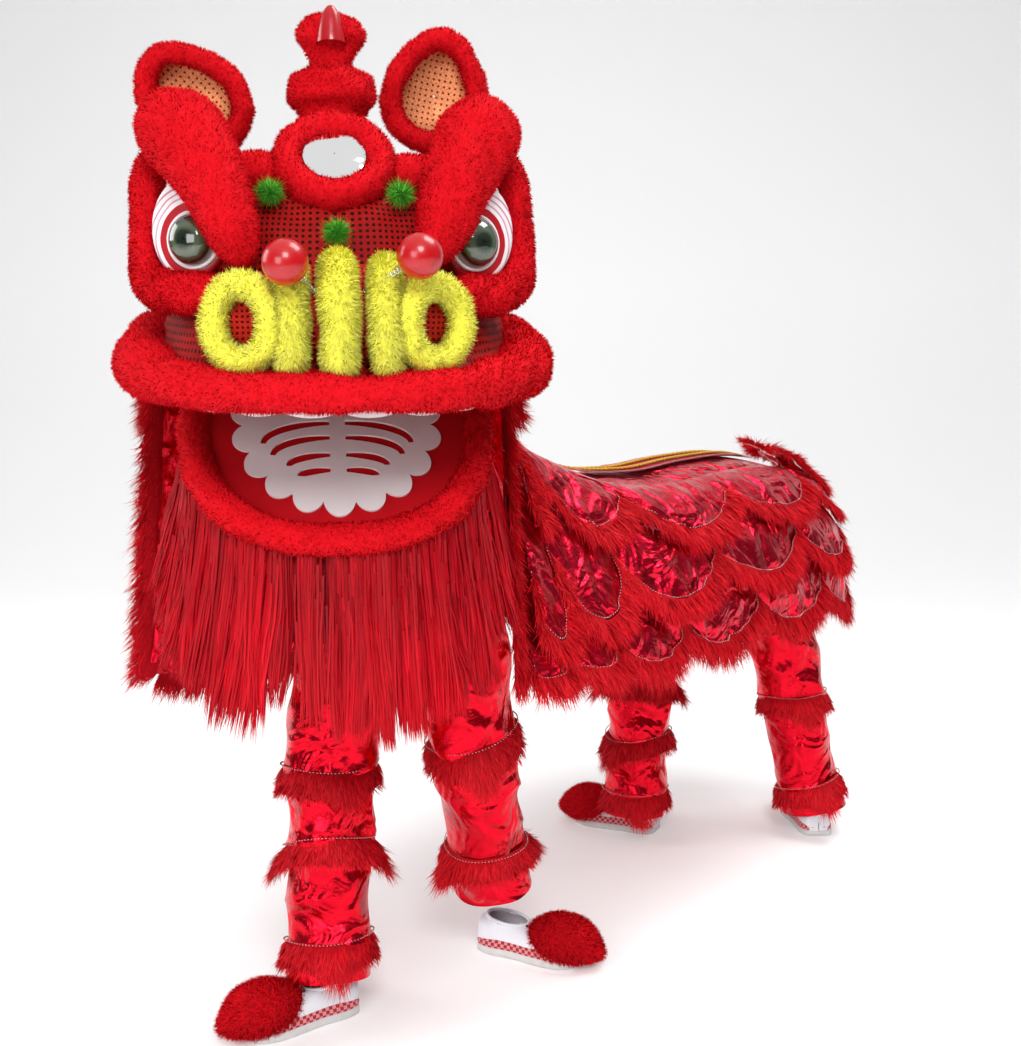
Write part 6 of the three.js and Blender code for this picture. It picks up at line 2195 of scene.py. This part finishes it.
    def edges(self, wardrobe: Wardrobe, on: bpy.types.Object) -> None:
        """Builds the fur trim down the cloth's two front edges.

        Args:
            wardrobe: Where pieces are built.
            on: The cloth.
        """
        down = np.linspace(0.12, 1.0, 60)
        for name, column, sign in (("right", 0.0, -1), ("left", float(self.cloth.columns), 1)):
            onward, below, out = self.cloth.axes(column, down)
            reach = np.linspace(-0.6, 1, 6)[:, None, None]
            start = self.cloth.point(column, down)
            grid = start[None] + onward[None] * sign * reach * HEM_BAND + out[None] * 6
            flow = np.broadcast_to(unit(onward * sign + below * 0.5)[None], grid.shape)
            skin = Skin.of_grid(grid, flow=flow).outward(grid.reshape(-1, 3) - np.tile(out, (6, 1)) * 100)
            trim = wardrobe.piece(f"front_edge_{name}", skin, FUR_BACK, slot=Slot.FUR, on=on)
            pile = Pile(
                4500, 44.0, 2.3, stretches=2, lift=0.5, lay=0.8, fall=0.4, stray=0.25, ragged=0.4, droop=0.2,
                locks=500, gather=0.4,
            )
            wardrobe.piece(f"front_edge_{name}_fur", pile.grown(skin, 71), FUR_HAIR, slot=Slot.FUR, on=trim)

    def dress(self, wardrobe: Wardrobe) -> None:
        """Builds the whole body.

        Args:
            wardrobe: Where pieces are built.
        """
        self.edges(wardrobe, self.back(wardrobe))
        for seed, plan in enumerate(self.tiers, start=101):
            self.tier(wardrobe, plan, seed)
        self.strip(wardrobe)
        self.collar(wardrobe)
        self.tail(wardrobe)


# Trousers and shoes

FLOOR = 1280.0
SHOE_LENGTH, SHOE_HALF, SOLE_TOP, TOE_CAP = 208.0, 46.0, 15.0, 0.83
LEG_SHARES = (1.0, 0.98, 0.9, 0.84, 0.8, 0.78, 0.8)


def standing(x: float, y: float, height: float) -> Array:
    """Gives a point at a height over the floor."""
    return np.array([x, y, height - FLOOR])


@dataclass(frozen=True)
class Leg:
    """One leg: its knee and hem as x, y and height, and its frills in shares of its length."""

    name: str
    side: int
    knee: tuple[float, float, float]
    hem: tuple[float, float, float]
    frills: tuple[float, ...]
    heel: tuple[float, float]
    toe: tuple[float, float]
    paw: float = 1.0


@dataclass
class Trousers:
    """One pair of foil trousers with its fur frills, shoes and paws."""

    name: str
    turn: float
    hip: tuple[float, float]
    legs: Sequence[Leg]
    thigh: float = 100.0
    hip_half: float = 162.0
    hip_depth: float = 122.0
    waist: float = 855.0
    crotch: float = 700.0
    flat_width: float = 1.3

    def path(self, leg: Leg) -> Array:
        """Gives the points of a leg's middle line.

        Args:
            leg: The leg.

        Returns:
            The points.
        """
        top = moved(np.array([leg.side * 0.5 * self.hip_half, 0, 0]), turning(2, self.turn))
        top = top + standing(*self.hip, self.crotch + 40)
        knee, hem = standing(*leg.knee), standing(*leg.hem)
        return np.array([top, top + (knee - top) * 0.55, knee, (knee + hem) / 2, hem])

    def hips(self) -> Skin:
        """Makes the hips' surface, open at the waist.

        Returns:
            The surface.
        """
        sections = Path(
            [(0.92, 0, 1.0), (1.0, 0, 0.6), (1.02, 0, 0.2), (0.9, 0, -0.1), (0.62, 0, -0.24), (0.1, 0, -0.3)]
        )
        rows = sections.at(np.linspace(0, 1, 30))
        turn = rounds(64)[None]
        wide = rows[:, :1] * (1 + 0.02 * np.sin(9 * turn))
        level = self.crotch + rows[:, 2:] * (self.waist - self.crotch) - FLOOR + 0 * turn
        grid = np.stack(
            [wide * self.hip_half * np.cos(turn), wide * self.hip_depth * np.sin(turn), level], axis=-1
        )
        return Skin.of_grid(grid, wraps=True).moved(shifting((*self.hip, 0)) @ turning(2, self.turn))

    def leg(self, leg: Leg) -> Skin:
        """Makes a leg's surface with its slanting folds.

        Args:
            leg: The leg.

        Returns:
            The surface.
        """
        sides, rows = 48, 76
        grid, _ = tube(self.path(leg), self.thigh, LEG_SHARES, rows, sides, blunt=True)
        share = np.linspace(0, 1, rows)[:, None]
        turn = rounds(sides)[None]
        skin = Skin.of_grid(grid, wraps=True).outward(np.repeat(grid.mean(axis=1), sides, axis=0))
        slant = turn + leg.side * share * 15 + 0.8 * np.sin(share * 9 + turn)
        folds = 11.0 * (0.5 - np.abs(np.sin(slant)) ** 0.7) * (0.45 + 0.55 * np.sin(turn + share * 7) ** 2)
        folds = folds + 2.5 * np.sin(3 * turn - leg.side * share * 13)
        folds = folds.ravel() * np.repeat(np.clip(share[:, 0] * 3 - 0.3, 0.15, 1), sides)
        return skin.lifted(folds + 3.0 * waves(skin.points, 140.0, 130 + leg.side) - 2.0)

    def frill(self, wardrobe: Wardrobe, leg: Leg, n: int, share: float) -> None:
        """Builds a fur frill round a leg, with its beaded seam and side tufts.

        Args:
            wardrobe: Where pieces are built.
            leg: The leg.
            n: The frill's number.
            share: Where its seam is, in shares of the leg's length.
        """
        path = Path(self.path(leg))
        drop = 46 / path.length
        stops = np.minimum(share + drop * np.linspace(0, 1, 5), 1.0)
        centre, heading, across, other = path.frames(np.concatenate([[0], stops]))
        turn = rounds(72)[None]
        wave = np.sin(2 * turn + share * 40)
        rows = np.linspace(0, 1, 5)[:, None]
        dip = 10 * np.sin(turn + share * 25)
        over = np.maximum(share + drop * rows - 1, 0) * path.length + 5 * wave + dip
        wide = self.thigh * along(LEG_SHARES, stops)[:, None] - 5 + 18 * np.sqrt(rows) * (1 + 0.35 * wave)
        ring = across[1:, None] * np.cos(turn)[..., None] + other[1:, None] * np.sin(turn)[..., None]
        grid = centre[1:, None] + heading[1:, None] * over[..., None] + ring * wide[..., None]
        flow = unit(np.broadcast_to(heading[1:, None], grid.shape) + 0.45 * ring)
        growth = 0.8 + 1.3 * np.clip(wave, 0, 1) ** 8 + 0 * rows
        skin = Skin.of_grid(grid, wraps=True, flow=flow, growth=growth)
        skin = skin.outward(np.repeat(centre[1:], 72, axis=0))
        name = f"{self.name}_{leg.name}_frill_{n}"
        back = wardrobe.piece(f"{name}_back", skin, FUR_BACK, slot=Slot.FUR, stands_for=[name])
        pile = Pile(
            2900, 25.0, 2.2, stretches=2, lift=0.25, lay=1.0, stray=0.25, ragged=0.4, droop=0.2,
            locks=260, gather=0.4,
        )
        wardrobe.piece(f"{name}_fur", pile.grown(skin, n + len(name)), FUR_HAIR, slot=Slot.FUR, on=back)
        seam = grid[0] + ring[0] * 8
        seam = np.vstack([seam, seam[:1]])
        wardrobe.piece(f"{name}_beads", beads(spaced(seam, STITCH_GAP), 2.2), STITCH, slot=Slot.FOIL, on=back)

    def shoe(self, wardrobe: Wardrobe, leg: Leg) -> None:
        """Builds a shoe with its sole, band and eyelets, and the paw over its toe.

        Args:
            wardrobe: Where pieces are built.
            leg: The leg.
        """
        (hx, hy), (tx, ty) = leg.heel, leg.toe
        place = shifting(standing(hx, hy, 0)) @ turning(2, math.degrees(math.atan2(tx - hx, hy - ty)))
        name = leg.name
        table = (
            (-0.035, 0.02, 0.5), (-0.03, 0.34, 0.86), (-0.01, 0.66, 0.95), (0.12, 0.86, 1.0),
            (0.34, 0.84, 0.98), (0.56, 0.95, 0.8), (0.8, 1.0, 0.56), (0.95, 0.74, 0.44), (1.0, 0.3, 0.36),
        )
        rows = Path(table).at(np.linspace(0, 1, 44))
        turn = np.linspace(-0.5 * np.pi, 1.5 * np.pi, 56, endpoint=False)[None]
        rounded = [np.sign(part) * np.abs(part) ** 0.8 for part in (np.cos(turn), np.sin(turn))]
        x = rows[:, 1:2] * SHOE_HALF * rounded[0]
        level = np.clip((rounded[1] + 0.74) / 1.74, 0, None)
        z = SOLE_TOP + (rows[:, 2:] * 72 - SOLE_TOP) * level
        grid = np.stack([x, -rows[:, :1] * SHOE_LENGTH + 0 * turn, z], axis=-1)
        upper = Skin.of_grid(grid[:, ::-1], wraps=True)
        middle = upper.points[upper.faces].mean(axis=1)
        mouth = ((middle[:, 0] / 30) ** 2 + ((middle[:, 1] + 50) / 43) ** 2 < 1) & (middle[:, 2] > 40)
        upper.faces = upper.faces[~mouth]
        canvas = wardrobe.piece(
            f"{self.name}_shoe_{name}_upper", upper.moved(place), CANVAS, slot=Slot.SHOE,
            stands_for=[f"{self.name}_shoe_{name}"],
        )
        around = np.linspace(0, 2 * np.pi, 49)
        collar = np.stack([31 * np.cos(around), -50 + 44 * np.sin(around), 68 + 5 * np.sin(around)], axis=-1)
        edge = cord(collar, 3.4, 8).moved(place)
        wardrobe.piece(f"{self.name}_shoe_{name}_collar", edge, CANVAS, slot=Slot.SHOE, on=canvas)
        outline = np.concatenate([rows[:, :2] * [1, 1], rows[::-1, :2] * [1, -1]])
        loop = np.stack(
            [outline[:, 1] * (SHOE_HALF + 2), -outline[:, 0] * SHOE_LENGTH, 0 * outline[:, 0]], axis=-1
        )
        heights = np.array([0.5, 0.5, 3, 15, 18, 18])[:, None, None]
        sizes = np.array([0.05, 0.93, 1.0, 1.0, 0.96, 0.05])[:, None, None]
        centre = np.array([0, -SHOE_LENGTH / 2, 0])
        slab = centre + (loop[None] - centre) * sizes
        slab[..., 2] += heights[..., 0]
        sole = Skin.of_grid(slab, wraps=True).moved(place)
        wardrobe.piece(f"{self.name}_shoe_{name}_sole", sole, RUBBER, slot=Slot.SHOE, on=canvas)
        run = travelled(loop)
        lift = np.array([17.0, 24, 31, 38])[:, None]
        bulge = np.array([1.0, 1.01, 0.985, 0.95])[:, None, None]
        strip = centre + (loop[None] - centre) * bulge * np.array([0.985, 0.99, 1])
        strip[..., 2] = lift
        uv = np.stack([run[None] + 0 * lift, lift + 0 * run[None]], axis=-1) * MM
        band = Skin.of_grid(strip, uv=uv).moved(place)
        wardrobe.piece(f"{self.name}_shoe_{name}_band", band, BAND, slot=Slot.SHOE, on=canvas)
        spots = np.array(
            [(side * 17, -100 - 13 * k, 66 - 5.5 * k) for side in (-1, 1) for k in range(3)], float
        )
        holes = beads(spots, 3.2).moved(place)
        wardrobe.piece(f"{self.name}_shoe_{name}_eyelets", holes, DARK, slot=Slot.SHOE, on=canvas)
        self.paw(wardrobe, leg, place)

    def paw(self, wardrobe: Wardrobe, leg: Leg, place: Array) -> None:
        """Builds the furry paw over a shoe's toe, with its pointed end.

        Args:
            wardrobe: Where pieces are built.
            leg: The leg.
            place: The shoe's matrix.
        """
        grid = ellipsoid((1, 1, 1), 36, 48)
        ahead = -grid[..., 1]
        point = np.clip(ahead, 0, 1) ** 4
        x = grid[..., 0] * 56 * (1 - 0.35 * point)
        y = grid[..., 1] * 74 - 10 * point
        z = 47 + grid[..., 2] * 46 * (1 - 0.3 * point) - 16 * point
        shape = np.stack([x, y - SHOE_LENGTH * TOE_CAP, np.maximum(z, 4.0)], axis=-1)
        centre = np.array([0, -SHOE_LENGTH * TOE_CAP, 40])
        skin = Skin.of_grid(shape, wraps=True, flow=np.broadcast_to(np.array([0, -1.0, -0.2]), shape.shape))
        skin = skin.outward(centre)
        skin.points = centre + (skin.points - centre) * leg.paw
        skin.points[:, 2] = np.maximum(skin.points[:, 2], 4.0)
        skin = skin.moved(place)
        skin.growth = np.clip((skin.points[:, 2] + FLOOR - 3) / 12, 0.0, 1)
        name = f"{self.name}_paw_{leg.name}"
        paw = wardrobe.piece(f"{name}_pad", skin, FUR_BACK, slot=Slot.FUR, stands_for=[name])
        pile = Pile(8000, 11.0, 2.1, lift=0.9, lay=0.6, stray=0.4, ragged=0.3).grown(skin, len(name) + 5)
        wardrobe.piece(f"{name}_fur", pile, PLUSH_HAIR, slot=Slot.FUR, on=paw)

    def dress(self, wardrobe: Wardrobe) -> None:
        """Builds the pair, its frills and its shoes.

        Args:
            wardrobe: Where pieces are built.
        """
        skins = [self.hips(), *(self.leg(leg) for leg in self.legs)]
        skin = skins[0].joined(*skins[1:])
        foil = wardrobe.piece(
            f"{self.name}_foil", skin, LEG_FOIL, slot=Slot.FOIL, stands_for=[f"{self.name}_trousers"]
        )
        skin.area()
        for leg in self.legs:
            for n, share in enumerate(leg.frills, start=1):
                self.frill(wardrobe, leg, n, share)
            self.shoe(wardrobe, leg)


PAIRS = (
    Trousers(
        "front", 46.0, (0, 170),
        (
            Leg("left", -1, (-82, 52, 460), (-42, 0, 72), (0.44, 0.64, 0.9), (-24, 34), (-82, -160)),
            Leg("right", 1, (76, 270, 470), (36, 376, 150), (0.42, 0.83), (4, 398), (163, 430)),
        ),
    ),
    Trousers(
        "rear", 0.0, (0, 1345),
        (
            Leg(
                "left", -1, (-128, 1180, 430), (-140, 1166, 48), (0.52, 0.72, 0.92), (-88, 1180), (-303, 1140)
            ),
            Leg("right", 1, (148, 1410, 420), (214, 1440, 58), (0.58, 0.9), (248, 1404), (107, 1556)),
        ),
    ),
)


# The stage


@dataclass
class Studio:
    """The floor, the lights and the camera."""

    reach: float = 4.2
    cove: float = 1.6
    camera_place: tuple[float, float, float] = (1.712, -1.708, -0.08)
    camera_pitch: float = 82.9
    camera_turn: float = 38.0
    focal_pixels: float = 1400.0

    def floor(self) -> None:
        """Makes the pale floor and the backdrop that it curves up into."""
        bend = np.linspace(0.1, np.pi / 2, 10)
        start, cove = np.linspace(-4.5, self.reach, 12), self.cove
        distance = np.concatenate([start, self.reach + cove * np.sin(bend), [self.reach + cove]])
        height = np.concatenate([0 * start, cove - cove * np.cos(bend), [7.0]])
        across = np.linspace(-8, 8, 5)
        line = np.stack([0 * distance, distance, height], axis=-1)
        grid = line[:, None] + np.stack([across, 0 * across, 0 * across], axis=-1)[None]
        place = shifting((0.1, 0.7, -1.2805)) @ turning(2, self.camera_turn)
        skin = Skin.of_grid(grid[:, ::-1]).moved(place)
        mesh = bpy.data.meshes.new("floor")
        mesh.from_pydata(skin.points.tolist(), [], skin.faces.tolist())
        mesh.shade_smooth()
        mesh.materials.append(PALE_FLOOR.material())
        made = put("floor", mesh)

    def light(
        self, name: str, place: Sequence[float], size: float, power: float, colour: Colour = (1, 1, 1)
    ) -> None:
        """Adds a soft square light that faces the costume.

        Args:
            name: Its name.
            place: Where it hangs.
            size: Its side in metres.
            power: Its power in watts.
            colour: Its colour.
        """
        lamp = bpy.data.lights.new(name, "AREA")
        lamp.shape = "SQUARE"
        lamp.size = size
        lamp.energy = power
        lamp.color = colour
        made = put(name, lamp)
        made.location = place
        made.rotation_euler = (Vector((0.0, 0.5, -0.4)) - Vector(place)).to_track_quat("-Z", "Y").to_euler()

    def sky(self) -> None:
        """Makes the room's light: bright overhead and darker towards the floor."""
        world = bpy.data.worlds.new("studio")
        world.use_nodes = True
        tree = world.node_tree
        place = tree.nodes.new("ShaderNodeTexCoord")
        height = tree.nodes.new("ShaderNodeSeparateXYZ")
        ramp = tree.nodes.new("ShaderNodeValToRGB")
        tree.links.new(place.outputs[0], height.inputs[0])
        tree.links.new(height.outputs[2], ramp.inputs[0])
        bars = ramp.color_ramp.elements
        bars[0].position, bars[0].color = 0.0, (0.10, 0.10, 0.11, 1)
        bars[1].position, bars[1].color = 0.85, (1.0, 1.0, 1.0, 1)
        bars.new(0.45).color = (0.22, 0.22, 0.24, 1)
        background = tree.nodes["Background"]
        tree.links.new(ramp.outputs[0], background.inputs[0])
        background.inputs[1].default_value = 0.8
        bpy.context.scene.world = world

    def camera(self) -> None:
        """Sets the camera where the photograph was taken."""
        lens = bpy.data.cameras.new("camera")
        lens.sensor_width = 36.0
        lens.lens = 36.0 * self.focal_pixels / max(PICTURE)
        lens.clip_end = 60.0
        made = put("camera", lens)
        made.location = self.camera_place
        made.rotation_euler = (math.radians(self.camera_pitch), 0.0, math.radians(self.camera_turn))
        bpy.context.scene.camera = made

    def build(self) -> None:
        """Builds the stage."""
        self.floor()
        self.sky()
        self.light("key", (2.9, -2.6, 2.2), 1.6, 120)
        self.light("front", (1.0, -3.4, 0.3), 1.6, 45)
        self.light("fill", (-3.4, -1.6, 1.2), 2.2, 60)
        self.light("top", (1.2, 1.6, 3.2), 2.0, 100)
        self.camera()
        view = bpy.context.scene.view_settings
        view.view_transform = "Standard"
        view.look = "None"


def main() -> None:
    """Builds every part of the costume in order, and then the stage."""
    logging.basicConfig(level=logging.INFO, format="%(message)s")
    wardrobe = Wardrobe()
    shell = Shell()
    shell.dress(wardrobe)
    Face().dress(wardrobe)
    Nose().dress(wardrobe)
    Crown().dress(wardrobe)
    Jaw().dress(wardrobe)
    BodyCloth(Cloth(shell), shell).dress(wardrobe)
    for pair in PAIRS:
        pair.dress(wardrobe)
    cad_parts["carry_bar"].data.materials.clear()
    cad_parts["carry_bar"].data.materials.append(WOOD.material())
    wardrobe.report()
    Studio().build()


if __name__ == "__main__":
    main()
